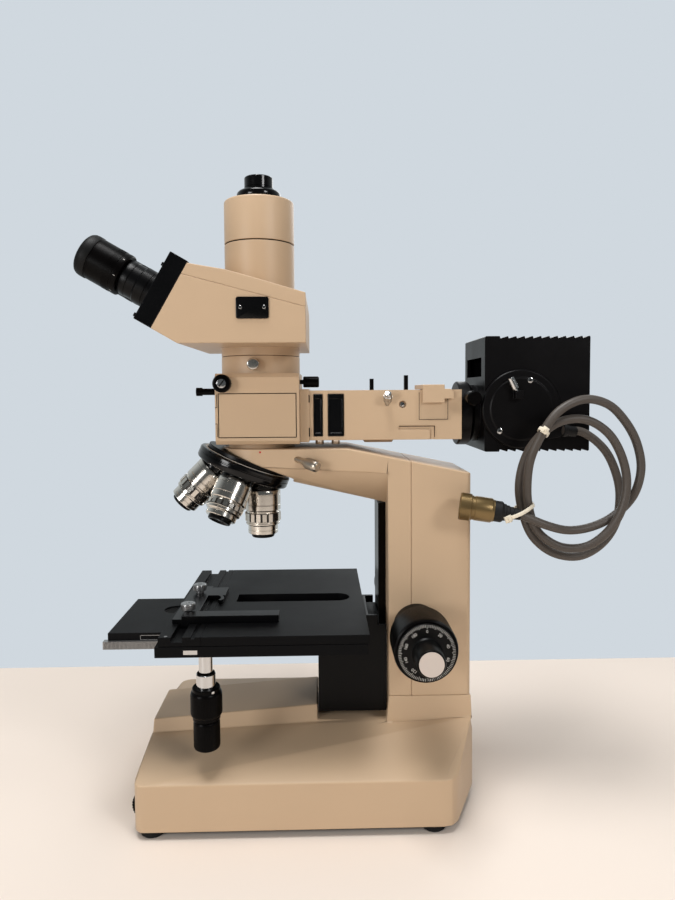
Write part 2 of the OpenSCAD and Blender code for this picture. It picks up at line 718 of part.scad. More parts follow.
// Upright illuminator on the arm tip
box_wall = 6;
box_chamfer = 3;
cover_t = 2;
spigot_r = 22;
cover_x0 = optic_x - box_l / 2 + 2.5;
cover_x1 = optic_x + box_l / 2 - 2.4;
cover_z0 = box_z + 5.4;
cover_z1 = box_z + 39.4;
rod_y = -20;
rod_z = box_z + 40.8;
rod_r = 2.6;
analyser_x = optic_x - box_l / 2 + 6.2;
analyser_z = box_z + 47;
pull_z = box_z + 48;
pull_y = -24;

module box_section() {
    half = box_w / 2;
    polygon([[-half + box_chamfer, 0], [half - box_chamfer, 0], [half, box_chamfer], [half, box_h - box_chamfer],
        [half - box_chamfer, box_h], [-half + box_chamfer, box_h], [-half, box_h - box_chamfer], [-half, box_chamfer]]);
}

module illuminator_box() {
    x0 = optic_x - box_l / 2;
    color([0.78, 0.67, 0.54]) difference() {
        union() {
            translate([x0, 0, box_z]) rotate([90, 0, 90]) linear_extrude(box_l) box_section();
            translate([optic_x, 0, box_top_z - eps]) cylinder(r = collar_r, h = collar_h + eps);
            translate([optic_x, 0, arm_top_z]) cylinder(r = 27, h = box_z - arm_top_z + eps);
        }
        // Inside, light paths and the seat of the head
        box_between([x0 + box_wall, -box_w / 2 + box_wall + cover_t, box_z + box_wall],
            [x0 + box_l - box_wall, box_w / 2 - box_wall, box_top_z - box_wall]);
        translate([optic_x, 0, arm_top_z - 1]) cylinder(r = 12, h = box_h + collar_h + 10);
        translate([optic_x, 0, box_top_z + 2.5]) cylinder(r = spigot_r + shaft_play, h = collar_h);
        x_rod(0, beam_z, light_r - 2, optic_x, x0 + box_l + 1);
        // Pocket of the side cover
        box_between([cover_x0, -box_w / 2 - 1, cover_z0], [cover_x1, -box_w / 2 + cover_t, cover_z1]);
        // Bearings of the rod, the knobs and the head clamp
        x_rod(rod_y, rod_z, rod_r + shaft_play, x0 - 1, x0 + box_wall + 1);
        y_rod(analyser_x, analyser_z, 2 + shaft_play, -box_w / 2 - 1, -box_w / 2 + 5.2);
        x_rod(pull_y, pull_z, 1.8 + shaft_play, x0 + box_l - 5.2, x0 + box_l + 1);
        y_rod(optic_x - 3, box_top_z + 7.3, 1.5 + shaft_play, -collar_r - 1, -collar_r + 6);
    }
}

module box_cover() {
    g = 0.3;
    color([0.79, 0.68, 0.55])
        box_between([cover_x0 + g, -box_w / 2, cover_z0 + g], [cover_x1 - g, -box_w / 2 + cover_t, cover_z1 - g]);
}

module aperture_rod() {
    x0 = optic_x - box_l / 2;
    color([0.06, 0.06, 0.06]) {
        x_rod(rod_y, rod_z, rod_r, x0 - 15, x0 + 24);
        x_rod(rod_y, rod_z, 3.6, x0 + 24, x0 + 25.5);
        x_rod(rod_y, rod_z, rod_r + 0.7, x0 - 17, x0 - 12.5);
    }
}

lens_t = 6;

module illuminator_optics() {
    half_y = box_w / 2 - box_wall;
    color([0.75, 0.85, 0.9, 0.5]) {
        translate([optic_x, 0, beam_z]) rotate([0, 45, 0])
            box_between([-18, -half_y + cover_t, -1], [18, half_y, 1]);
        for (x = [bar_x + 38, bar_x + bar_l - 8]) x_rod(0, beam_z, light_r - 0.1, x, x + lens_t);
    }
}

module analyser_knob() {
    y = -box_w / 2;
    color([0.06, 0.06, 0.06]) difference() {
        union() {
            y_rod(analyser_x, analyser_z, 2, y - 1, y + 5);
            y_rod(analyser_x, analyser_z, 6.8, y - 8, y - slide_gap);
        }
        y_rod(analyser_x, analyser_z, 3.7, y - 9, y - 6.6);
    }
}

module rear_pull_knob() {
    x = optic_x + box_l / 2;
    color([0.06, 0.06, 0.06]) {
        x_rod(pull_y, pull_z, 1.8, x - 5, x + 4);
        x_rod(pull_y, pull_z, 4.2, x + 2.7, x + 15.2);
    }
}

module head_clamp_screw() {
    x = optic_x - 3;
    z = box_top_z + 7.3;
    color([0.8, 0.8, 0.8]) {
        y_rod(x, z, 1.5, -collar_r - 1, -collar_r + 5.8);
        y_rod(x, z, 4.8, -collar_r - 6, -collar_r - slide_gap);
    }
}

// Horizontal lamp tube housing
flange_t = 7.2;
bar_x0 = bar_x + flange_t;
slider_a_x = bar_x + 10.9;
slider_b_x = bar_x + 22.1;
slider_a_t = 6.6;
slider_b_t = 12;
slider_h = 32.6;
slider_z = beam_z - slider_h / 2;
lever_a_x = bar_x + 58.2;
lever_b_x = bar_x + 86.5;
lever_t = 3.2;
centring_x = bar_x + 68.4;
filter_x = bar_x + 96;
filter_w = 17;
filter_t = 3.4;

module light_bar() {
    y0 = -bar_w / 2;
    top = bar_z + bar_h;
    color([0.78, 0.67, 0.54]) difference() {
        union() {
            box_between([bar_x, y0 - 2, bar_z - 1.3], [bar_x0, -y0 + 2, top + 1.1]);
            box_between([bar_x0 - eps, y0, bar_z], [bar_x0 + bar_l, -y0, top]);
            // Tab below the housing
            side_plate([[bar_x + 49.6, bar_z + 0.5], [bar_x + 51.6, bar_z - 3.1], [bar_x + 73.9, bar_z - 3.1],
                [bar_x + 75.9, bar_z + 0.5]], -10, 10);
        }
        x_rod(0, beam_z, light_r, bar_x - 1, bar_x0 + bar_l + 1);
        // Slots of the two sliders
        box_between([slider_a_x - slide_gap, y0 - 3, slider_z - slide_gap],
            [slider_a_x + slider_a_t + slide_gap, -y0 - 1.5, slider_z + slider_h + slide_gap]);
        box_between([slider_b_x - slide_gap, y0 - 3, slider_z - slide_gap],
            [slider_b_x + slider_b_t + slide_gap, -y0 - 1.5, slider_z + slider_h + slide_gap]);
        // Slots of the diaphragm levers
        for (x = [lever_a_x, lever_b_x])
            box_between([x - lever_t / 2 - 0.4, -13, beam_z], [x + lever_t / 2 + 0.4, 13, top + 1]);
        // Slot of the filter
        box_between([filter_x + 5, -16.5, beam_z - 17], [filter_x + 5 + filter_t + 2 * slide_gap, 16.5, top + 1]);
        // Seat of the centring screw and the sunk hole beside it
        centring_place() translate([0, 0, -6]) cylinder(r = 1.5 + shaft_play, h = 12);
        y_rod(bar_x + 80.6, bar_z + 27.7, 2.8, y0 - 1, y0 + 3.5);
        // Milled step on the near face
        box_between([bar_x + 77.5, y0 - 1, bar_z + 7.8], [bar_x + 106, y0 + 1.4, bar_z + 10.9]);
        box_between([bar_x + 102.2, y0 - 1, bar_z - 1], [bar_x + 106, y0 + 1.4, bar_z + 10]);
    }
}

module lever(x, reach) {
    ring_r = light_r - 0.5;
    color([0.06, 0.06, 0.06]) translate([x - lever_t / 2, 0, beam_z]) rotate([90, 0, 90]) linear_extrude(lever_t)
        difference() {
            union() {
                circle(ring_r);
                translate([-2, 0]) square([4, reach]);
            }
            circle(11);
        }
}

module aperture_lever() { lever(lever_a_x, 28.7); }
module field_lever() { lever(lever_b_x, 31.4); }

module slider(x, t) {
    y0 = -bar_w / 2 - 1;
    color([0.05, 0.05, 0.05]) difference() {
        box_between([x, y0, slider_z], [x + t, bar_w / 2 - 3, slider_z + slider_h]);
        x_rod(0, beam_z, 12, x - 1, x + t + 1);
        // Finger recess in the end
        box_between([x + 1.2, y0 - 1, slider_z + 2.4], [x + t - 1.2, y0 + 1, slider_z + slider_h - 3.4]);
    }
}

module analyser_slider() { slider(slider_a_x, slider_a_t); }
module polariser_slider() { slider(slider_b_x, slider_b_t); }

module filter_cap() {
    y0 = -bar_w / 2;
    top = bar_z + bar_h;
    color([0.78, 0.67, 0.54]) difference() {
        union() {
            side_plate([[filter_x, top - 10.2], [filter_x + filter_w, top - 10.2], [filter_x + filter_w, top - 7.1],
                [filter_x + filter_w + 7.4, top - 7.1], [filter_x + filter_w + 7.4, top - 2],
                [filter_x + filter_w + 4.6, top + 0.6], [filter_x + filter_w, top + 0.6],
                [filter_x + filter_w, top + 4], [filter_x, top + 4]], y0 - 3.5, y0 - slide_gap);
            box_between([filter_x, y0 - 1, top + slide_gap], [filter_x + filter_w, 17, top + 4]);
            // Filter frame that dips into the light path
            box_between([filter_x + 5 + slide_gap, -16, beam_z - 16.5],
                [filter_x + 5 + slide_gap + filter_t, 16, top + 1]);
        }
        x_rod(0, beam_z, 12.5, filter_x, filter_x + 12);
    }
}

module centring_place() {
    translate([centring_x, -bar_w / 2, bar_z + 28.7]) rotate([50, 0, 0]) children();
}

module bar_centring_screw() {
    color([0.8, 0.8, 0.8]) centring_place() {
        translate([0, 0, -5]) cylinder(r = 1.5, h = 8);
        translate([0, 0, 2.8]) rotate_extrude() polygon([[0, 0], [2.6, 0], [3.3, 0.7], [3.3, 8], [2.4, 9.4], [0, 9.8]]);
    }
}

// Lamphouse, with its dovetail ring
lamp_z = beam_z - 29.2;
lamp_ring_r = 26;
bulb_x = lamp_x + 28;
bulb_z = beam_z + 4;
clamp_x = lamp_ring_x + 7;
clamp_z = beam_z + 12.5;

module lamp_side() {
    rib = (lamp_l - 11.5) / rib_count;
    top = lamp_z + lamp_h;
    x1 = lamp_x + lamp_l;
    polygon(concat(
        [[lamp_x, lamp_z + 0.8], [lamp_x, top - 0.8], [lamp_x + 1, top]],
        [for (i = [0:rib_count - 1], p = [0:1])
            [lamp_x + 11.5 + rib * i + [0, 0.6][p], top - [0, 1.8][p]]],
        [[x1 - 0.8, top], [x1, top - 0.8], [x1, lamp_z + 0.8], [x1 - 0.8, lamp_z]],
        [for (i = [rib_count - 1:-1:0], p = [0:1])
            [lamp_x + 11.5 + rib * i + [0.6, 0][p], lamp_z + [1.8, 0][p]]],
        [[lamp_x + 1, lamp_z]]));
}

module lamphouse() {
    half = lamp_w / 2;
    vent_z = beam_z + 29.5;
    color([0.05, 0.05, 0.05]) difference() {
        union() {
            translate([0, half, 0]) rotate([90, 0, 0]) linear_extrude(lamp_w) lamp_side();
            translate([lamp_ring_x, 0, beam_z]) rotate([0, 90, 0]) rotate_extrude() polygon([[0, 0],
                [lamp_ring_r - 1, 0], [lamp_ring_r, 1], [lamp_ring_r, 9], [lamp_ring_r - 3, 11.5],
                [lamp_ring_r - 3, 16.5], [0, 16.5]]);
        }
        box_between([lamp_x + lamp_wall, -half + lamp_wall, lamp_z + lamp_wall + 2],
            [lamp_x + lamp_l - lamp_wall, half - lamp_wall, lamp_z + lamp_h - lamp_wall - 2]);
        x_rod(0, beam_z, light_r, lamp_ring_x - 1, lamp_x + lamp_wall + 1);
        // Vent in the front wall
        box_between([lamp_x - 1, -24, vent_z], [lamp_x + lamp_wall + 1, 28, vent_z + 15]);
        // Opening behind the socket cover
        y_rod(bulb_x, bulb_z, socket_r - 6, -half - 1, -half + lamp_wall + 1);
        // Bearing of the clamp knob
        y_rod(clamp_x, clamp_z, 2.5 + shaft_play, -40, -18.5);
    }
}

ear_x = bulb_x - 3.5;
gland_x1 = lamp_x + 55.5;
gland_y = -43;
gland_z = bulb_z - 16.5;

module socket_cover() {
    y = -lamp_w / 2;
    color([0.06, 0.06, 0.06]) difference() {
        union() {
            translate([bulb_x, y, bulb_z]) rotate([90, 0, 0]) rotate_extrude() polygon([[0, 0], [socket_r, 0],
                [socket_r, 1.6], [socket_r - 1, 2.6], [socket_r - 6, 2.6], [socket_r - 7, 3.4], [0, 3.4]]);
            y_rod(bulb_x, bulb_z, socket_r - 6.3, y, y + lamp_wall);
            // Ear of the centring screw
            translate([ear_x - 3, y - 9.5, bulb_z + 8]) cube([6, 8, 6]);
            // Cable entry
            side_plate([[gland_x1 - 11, gland_z - 6.5], [gland_x1 - 2, gland_z - 5], [gland_x1, gland_z - 4.5],
                [gland_x1, gland_z + 4.5], [gland_x1 - 2, gland_z + 5], [gland_x1 - 11, gland_z + 6.5]],
                gland_y - 5, y);
        }
        screw_place() translate([0, 0, -6]) cylinder(r = 1.2 + shaft_play, h = 14);
    }
}

module screw_place() {
    translate([ear_x, -lamp_w / 2 - 6.6, bulb_z + 11]) rotate([0, -26, 0]) children();
}

module lamp_centring_screw() {
    color([0.8, 0.8, 0.8]) screw_place() {
        translate([0, 0, -2]) cylinder(r = 1.2, h = 8);
        translate([0, 0, 5]) rotate_extrude() polygon([[0, 0], [2.75, 0], [2.75, 8.8], [2.2, 9.5], [0, 9.5]]);
    }
}

module lamp_clamp_knob() {
    color([0.05, 0.05, 0.05]) translate([clamp_x, -19, clamp_z]) rotate([90, 0, 0]) rotate_extrude() polygon([
        [0, 0], [2.5, 0], [2.5, 9], [5, 9], [5.7, 10], [5.7, 22], [4.8, 23.5], [0, 23.5]]);
}

module lamp_bulb() {
    y = -lamp_w / 2 + lamp_wall;
    color([0.85, 0.85, 0.82]) translate([bulb_x, y, bulb_z]) rotate([-90, 0, 0]) rotate_extrude() polygon([
        [0, 0], [9, 0], [9, 14], [6.5, 14], [6.5, 36], [5, 41], [2, 43.5], [0, 44]]);
}

// Head
head_x1 = optic_x + 38.5;
eye_x = optic_x - 72.5;
eye_z = head_z + 38.4;
plate_low = -23.4;
plate_high = 31;
eye_dir = [-cos(eye_tilt), sin(eye_tilt)];
plate_dir = [sin(eye_tilt), cos(eye_tilt)];

// A point of the head's side view, from its place along the front plate and in front of its back face
function on_plate(u, w) = [eye_x, eye_z] + u * plate_dir + (w - front_plate_t) * eye_dir;
head_a = on_plate(plate_high - 1.3, 0);
head_f = on_plate(plate_low, 0);
head_seam = on_plate(plate_high - 10.1, 0);
head_e = at(-53.4, head_z + 0.3);
head_c = [head_x1, head_z + 36];
head_b = at(-18.3, head_z + 52.4);
head_seam_rear = [head_x1, head_z + 25.8];

module eye_place(y = 0) {
    translate([eye_x, y, eye_z]) rotate([0, eye_tilt - 90, 0]) children();
}

module head_body() {
    cavity = 33;
    color([0.77, 0.66, 0.53]) difference() {
        union() {
            side_plate([head_e, head_f, head_seam, head_seam_rear, [head_x1, head_z + 0.3]], -head_w / 2, head_w / 2);
            translate([optic_x, 0, head_z - 6.4]) cylinder(r = collar_r, h = 7);
            translate([optic_x, 0, box_top_z + 4]) cylinder(r = spigot_r, h = 18);
        }
        box_between([optic_x - cavity, -head_w / 2 + 12, head_z + 5], [head_x1 - 5, head_w / 2 - 12, head_z + 60]);
        translate([optic_x, 0, box_top_z]) cylinder(r = 14, h = 40);
    }
}

module head_cover() {
    color([0.78, 0.67, 0.54]) difference() {
        side_plate([head_seam, head_a, head_b, head_c, head_seam_rear], -head_w / 2, head_w / 2);
        translate([optic_x, 0, head_z]) cylinder(r = photo_r - 6, h = 80);
    }
}

// Slide plates of the eyepiece tubes run between two lips on the front plate
slide_half = 19;
slide_t = 3;
lip_w = 3;

module head_front_plate() {
    color([0.06, 0.06, 0.06]) eye_place() difference() {
        union() {
            box_between([plate_low, -head_w / 2, -front_plate_t], [plate_high, head_w / 2, 0]);
            for (u = [-slide_half - slide_gap - lip_w, slide_half + slide_gap])
                box_between([u, -head_w / 2 + 8, -eps], [u + lip_w, head_w / 2 - 8, slide_t + 0.6]);
        }
        for (side = [-1, 1])
            translate([0, side * eye_spacing / 2, 0]) box_between([-10, -16, -front_plate_t - 1], [10, 16, 1]);
    }
}

module photo_tube() {
    top = head_z + photo_h;
    seam = top - 34;
    color([0.78, 0.67, 0.54]) difference() {
        translate([optic_x, 0, head_z]) rotate_extrude() polygon([[photo_r - 4, 20], [photo_r, 20],
            [photo_r, photo_h - 34.4], [photo_r - 0.5, photo_h - 34.4], [photo_r - 0.5, photo_h - 33.8],
            [photo_r, photo_h - 33.8], [photo_r, photo_h - 1], [photo_r - 1, photo_h],
            [port_bore_r, photo_h], [port_bore_r, photo_h - 4], [photo_r - 4, photo_h - 4]]);
        // Seat on the sloping cover
        side_plate([head_seam_rear, head_c, head_b, head_a, [optic_x - 90, head_z], [head_x1, head_z]],
            -head_w / 2, head_w / 2);
    }
}

module photo_port() {
    h = 20;
    color([0.05, 0.05, 0.05]) translate([optic_x, 0, head_z + photo_h]) rotate_extrude() polygon([
        [port_bore_r, 0], [15.5, 0], [17.65, 3], [17.65, 5.2], [15.5, 7.2], [12.6, 8.2], [port_ring_r, 9],
        [port_ring_r, h - 0.6], [port_ring_r - 0.6, h], [port_bore_r, h]]);
}

module prism_block() {
    z = head_z + 5;
    side_plate_points = [[optic_x - 18, z], [optic_x + 18, z], [optic_x + 18, z + 22], [optic_x - 18, z + 22]];
    color([0.8, 0.88, 0.92, 0.6]) side_plate(side_plate_points, -20, 20);
}

module eye_tube(side) {
    color([0.06, 0.06, 0.06]) eye_place(side * eye_spacing / 2) difference() {
        union() {
            box_between([-slide_half, -22, slide_gap], [slide_half, 22, slide_t + slide_gap]);
            cylinder(r = eye_tube_r, h = eye_tube_len + slide_t + slide_gap);
        }
        translate([0, 0, -1]) cylinder(r = 12, h = eye_tube_len + 10);
    }
}

module eye_tube_left() { eye_tube(1); }
module eye_tube_right() { eye_tube(-1); }

// An eyepiece drops into its tube down to its shoulder
module eyepiece(side) {
    base = eye_tube_len + slide_t + slide_gap;
    color([0.05, 0.05, 0.05]) eye_place(side * eye_spacing / 2) translate([0, 0, base]) rotate_extrude() polygon([
        [9, -20], [11.95, -20], [11.95, 0], [eyepiece_r - 1.2, 0], [eyepiece_r, 1.2],
        [eyepiece_r, eyepiece_len - 6], [eyepiece_r - 0.6, eyepiece_len - 3.4], [eyepiece_r - 2.2, eyepiece_len - 1],
        [eyepiece_r - 4, eyepiece_len], [eyepiece_r - 6.2, eyepiece_len - 1], [eyepiece_r - 7, eyepiece_len - 4],
        [9, eyepiece_len - 6], [0, eyepiece_len - 6], [0, eyepiece_len - 9], [9, eyepiece_len - 9]]);
}

module eyepiece_left() { eyepiece(1); }
module eyepiece_right() { eyepiece(-1); }

// Ends of the free plug, in front of the column
plug_end = [137, -59, 226];
plug_tip = [92.3, -51, 231.9];

// Route of the lamp cable, from its entry in the lamphouse through its coil to the plug
cable_route = [[gland_x1 + 0.3, gland_y, gland_z], [190, -43, 286], [206, -43, 273], [216, -41, 255], [220, -40, 236],
    [217, -40, 215], [205, -42, 199], [187, -43, 190], [167, -43, 193], [151, -43, 206], [143, -43, 225],
    [139, -47, 245], [141, -52, 265], [148, -59, 282], [164, -61, 295], [184, -60, 297], [202, -58, 287],
    [213, -57, 270], [218, -56, 250], [215, -56, 230], [205, -55, 212], [189, -53, 200], [169, -52, 200],
    [152, -52, 212], [145, -52, 231], [142, -58, 251], [143, -64, 270], [151, -67, 289], [163, -66, 304],
    [182, -63, 312], [202, -58, 308], [217, -54, 295], [228, -50, 278], [232, -49, 258], [227, -48, 238],
    [213, -48, 223], [195, -51, 215], [175, -55, 213], [156, -60, 218], plug_end];

// Smooth curve through the points of a route
function route_at(p, i, t) = let (n = len(p) - 1,
    a = i > 0 ? p[i - 1] : 2 * p[0] - p[1], b = p[i], c = p[i + 1], d = i + 2 > n ? 2 * p[n] - p[n - 1] : p[i + 2])
    0.5 * (2 * b + (c - a) * t + (2 * a - 5 * b + 4 * c - d) * t * t + (3 * b - a - 3 * c + d) * t * t * t);
function smooth_route(p, steps) = concat(
    [for (i = [0:len(p) - 2], k = [0:steps - 1]) route_at(p, i, k / steps)], [p[len(p) - 1]]);
function unit(v) = v / norm(v);
function tangent(p, i) = unit(p[min(i + 1, len(p) - 1)] - p[max(i - 1, 0)]);

// Side direction carried from ring to ring, so that the tube isn't twisted
function carry(u, t) = unit(u - (u * t) * t);
function frames(p, i = 0, u = [0, 0, 1], done = []) = i == len(p) ? done :
    let (t = tangent(p, i), v = carry(u, t)) frames(p, i + 1, v, concat(done, [[v, cross(t, v)]]));

module swept_tube(p, d, sides) {
    f = frames(p);
    n = len(p);
    points = [for (i = [0:n - 1], k = [0:sides - 1])
        let (a = k * 360 / sides) p[i] + d / 2 * (cos(a) * f[i][0] + sin(a) * f[i][1])];
    walls = [for (i = [0:n - 2], k = [0:sides - 1]) let (a = i * sides + k, b = i * sides + (k + 1) % sides)
        [a, a + sides, b + sides, b]];
    polyhedron(points, concat(walls, [[for (k = [0:sides - 1]) k]],
        [[for (k = [sides - 1:-1:0]) (n - 1) * sides + k]]));
}

module lamp_cable() {
    color([0.46, 0.41, 0.37]) swept_tube(smooth_route(cable_route, 2), cable_d, 10);
}

// Outline with two round ends, a distance of two halves apart
function stadium(half, r) = [for (side = [1, -1], a = [-90:15:90])
    [side * half + side * r * cos(a), side * r * sin(a)]];

tie_w = 4;
tie_t = 1.1;

// A flat band pulled round two strands, with its square head and the cut tail
module tie(centre, turn, half) {
    inner = cable_d / 2 + 0.1;
    end = half + inner + tie_t;
    translate(centre) rotate(turn) {
        difference() {
            translate([0, 0, -tie_w / 2]) linear_extrude(tie_w) polygon(stadium(half, inner + tie_t));
            translate([0, 0, -tie_w]) linear_extrude(2 * tie_w) polygon(stadium(half, inner));
        }
        box_between([end - 0.6, -2.4, -2.7], [end + 3.2, 2.4, 2.7]);
        box_between([end + 3.1, -0.6, -1.9], [end + 9, 0.6, 1.9]);
    }
}

module cable_ties() {
    color([0.88, 0.84, 0.76]) {
        tie([151.9, -63.6, 288.1], [-36.5, -13.6, -105], 3.7);
        tie([144.4, -47.3, 226], [16.4, 0, -67.4], 4.6);
    }
}

module plug_connector() {
    run = plug_end - plug_tip;
    len = norm(run);
    color([0.43, 0.38, 0.25]) translate(plug_tip)
        rotate([0, acos(run[2] / len), atan2(run[1], run[0])]) rotate_extrude() polygon([[0, 1.5], [7.4, 1.5],
            [7.4, 0], [10, 0], [10.5, 0.6], [10.5, 8.6], [9.8, 9.2], [9.2, 9.2], [9.2, 25], [8.4, 26.2],
            [7.8, 26.2], [7.8, 32], [6.6, 33], [5, 36], [4.1, len], [0, len]]);
}

base_casting();
base_plate();
rubber_feet();
brightness_wheel();
arm_casting();
column_cover();
guide_rail();
coarse_carriage();
coarse_knobs();
fine_knobs();
knob_caps();
focus_block();
stage_base();
stage_top();
holder_rail();
stage_rack();
y_knob();
x_knob();
specimen_holder();
thumbscrew_near();
thumbscrew_far();
nosepiece_mount();
nosepiece_turret();
objective_in_use();
objective_front();
objective_near();
objective_far();
nosepiece_clamp();
illuminator_box();
box_cover();
aperture_rod();
illuminator_optics();
analyser_knob();
rear_pull_knob();
head_clamp_screw();
light_bar();
field_lever();
aperture_lever();
analyser_slider();
polariser_slider();
filter_cap();
bar_centring_screw();
lamphouse();
socket_cover();
lamp_clamp_knob();
lamp_bulb();
lamp_centring_screw();
head_body();
head_cover();
head_front_plate();
photo_tube();
photo_port();
prism_block();
eye_tube_left();
eye_tube_right();
eyepiece_left();
eyepiece_right();
lamp_cable();
cable_ties();
plug_connector();
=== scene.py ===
import math
import bpy
import bmesh
from mathutils import Euler, Matrix, Vector


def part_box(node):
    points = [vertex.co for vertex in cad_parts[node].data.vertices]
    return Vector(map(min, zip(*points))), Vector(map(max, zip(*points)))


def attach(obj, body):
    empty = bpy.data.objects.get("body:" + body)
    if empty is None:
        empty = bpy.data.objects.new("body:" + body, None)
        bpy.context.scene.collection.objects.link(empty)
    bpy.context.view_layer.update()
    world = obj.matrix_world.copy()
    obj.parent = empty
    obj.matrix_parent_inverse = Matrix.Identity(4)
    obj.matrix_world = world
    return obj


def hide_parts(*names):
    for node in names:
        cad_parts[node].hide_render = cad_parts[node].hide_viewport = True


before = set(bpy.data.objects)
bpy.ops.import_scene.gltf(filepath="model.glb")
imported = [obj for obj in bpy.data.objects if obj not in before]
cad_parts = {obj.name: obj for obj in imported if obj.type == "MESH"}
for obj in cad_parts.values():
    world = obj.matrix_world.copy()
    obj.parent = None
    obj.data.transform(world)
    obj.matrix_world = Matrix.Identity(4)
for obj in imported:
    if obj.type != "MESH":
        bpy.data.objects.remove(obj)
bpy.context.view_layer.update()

# Camera, floor and light
# The camera looks at the near side from about half a metre away, from the height of the light
# tube and slightly down. The floor is a plain pale table top that ends behind the object, and the
# light is soft, from above and in front. Gloss shows a pale wall behind and a dim room in front.
def moved(x, y, z):
    """The place of a piece that is shifted by these lengths, in metres."""
    return Matrix.Translation((x, y, z))


def swung(degrees, axis):
    """The place of a piece that is turned about an axis."""
    return Matrix.Rotation(math.radians(degrees), 4, axis)


def link(name, data):
    """Makes an object of some data and puts it into the scene."""
    thing = bpy.data.objects.new(name, data)
    bpy.context.scene.collection.objects.link(thing)
    return thing


camera_data = bpy.data.cameras.new("camera")
camera_data.sensor_fit = "VERTICAL"
camera_data.sensor_height = 36
camera_data.lens = 27.2
camera_data.shift_y = -0.0222
camera_data.clip_start = 0.01
camera = link("camera", camera_data)
camera.matrix_world = moved(-0.0111, -0.560, 0.3195) @ swung(-1.3, "Z") @ swung(90 - 3.3, "X") @ swung(-0.4, "Z")
bpy.context.scene.camera = camera
bpy.context.scene.view_settings.view_transform = "Standard"


def colour(red, green, blue):
    """A colour given in the steps of a screen, from 0 to 255, as the shader wants it."""
    steps = (red, green, blue)
    return tuple((v / 255 / 12.92 if v <= 10 else ((v / 255 + 0.055) / 1.055) ** 2.4) for v in steps) + (1,)


def facing(direction):
    """The turn that points a piece's own Z axis in a direction."""
    return direction.to_track_quat("Z", "Y").to_matrix().to_4x4()


def soft_lamp(name, place, aim, size, power):
    """A square lamp of a size in metres and a power in watts, aimed at a point."""
    lamp = bpy.data.lights.new(name, "AREA")
    lamp.shape = "SQUARE"
    lamp.size = size
    lamp.energy = power
    link(name, lamp).matrix_world = moved(*place) @ facing(Vector(place) - Vector(aim))


soft_lamp("lamp_front_left", (-1.15, -1.25, 0.5), (0, 0, 0.1), 0.5, 10)
soft_lamp("lamp_front_right", (0.9, -1.1, 0.9), (0, 0, 0.15), 0.35, 6.5)
soft_lamp("lamp_above", (-0.2, -0.25, 1.8), (0, 0, 0.2), 0.7, 24)
soft_lamp("lamp_behind", (0.6, 1.5, 1.1), (0, 0, 0.3), 1.0, 7)


def shader_node(tree, kind, values=()):
    """A new node of a tree, with values for its inputs by their names."""
    made = tree.nodes.new("ShaderNode" + kind)
    for word, value in dict(values).items():
        made.inputs[word].default_value = value
    return made


def wired(tree, *pairs):
    """Links an output to an input for each pair."""
    for output, used in pairs:
        tree.links.new(output, used)


world = bpy.data.worlds.new("room")
bpy.context.scene.world = world
world.use_nodes = True
sky = world.node_tree
sky.nodes.clear()
seen = shader_node(sky, "Background", {"Color": colour(208, 216, 223)})
around = shader_node(sky, "Background", {"Color": (0.95, 0.98, 1.0, 1), "Strength": 0.27})
room_place = shader_node(sky, "TexCoord")
room_split = shader_node(sky, "SeparateXYZ")
room_depth = shader_node(sky, "MapRange", {"From Min": -0.35, "From Max": 0.5, "To Min": 0.13, "To Max": 0.8})
mirrored = shader_node(sky, "Background", {"Color": colour(222, 229, 231)})
glossy_choice = shader_node(sky, "MixShader")
ray = shader_node(sky, "LightPath")
either = shader_node(sky, "Math")
either.operation = "MAXIMUM"
choice = shader_node(sky, "MixShader")
sky_out = shader_node(sky, "OutputWorld")
wired(sky, (ray.outputs["Is Camera Ray"], either.inputs[0]),
      (ray.outputs["Is Transmission Ray"], either.inputs[1]), (either.outputs[0], choice.inputs[0]),
      (room_place.outputs["Generated"], room_split.inputs[0]), (room_split.outputs["Y"], room_depth.inputs["Value"]),
      (room_depth.outputs["Result"], mirrored.inputs["Strength"]),
      (ray.outputs["Is Glossy Ray"], glossy_choice.inputs[0]), (around.outputs[0], glossy_choice.inputs[1]),
      (mirrored.outputs[0], glossy_choice.inputs[2]), (glossy_choice.outputs[0], choice.inputs[1]),
      (seen.outputs[0], choice.inputs[2]), (choice.outputs[0], sky_out.inputs["Surface"]))

floor_mesh = bpy.data.meshes.new("floor")
floor_side, floor_front, floor_rear = 3, -2, 0.223
floor_mesh.from_pydata([(-floor_side, floor_front, 0), (floor_side, floor_front, 0), (floor_side, floor_rear, 0),
                        (-floor_side, floor_rear, 0)], [], [(0, 1, 2, 3)])
floor = link("floor", floor_mesh)
floor_finish = bpy.data.materials.new("floor")
floor_finish.use_nodes = True
floor_shader = floor_finish.node_tree.nodes["Principled BSDF"]
floor_shader.inputs["Base Color"].default_value = colour(228, 215, 203)
floor_shader.inputs["Roughness"].default_value = 0.6
floor_mesh.materials.append(floor_finish)


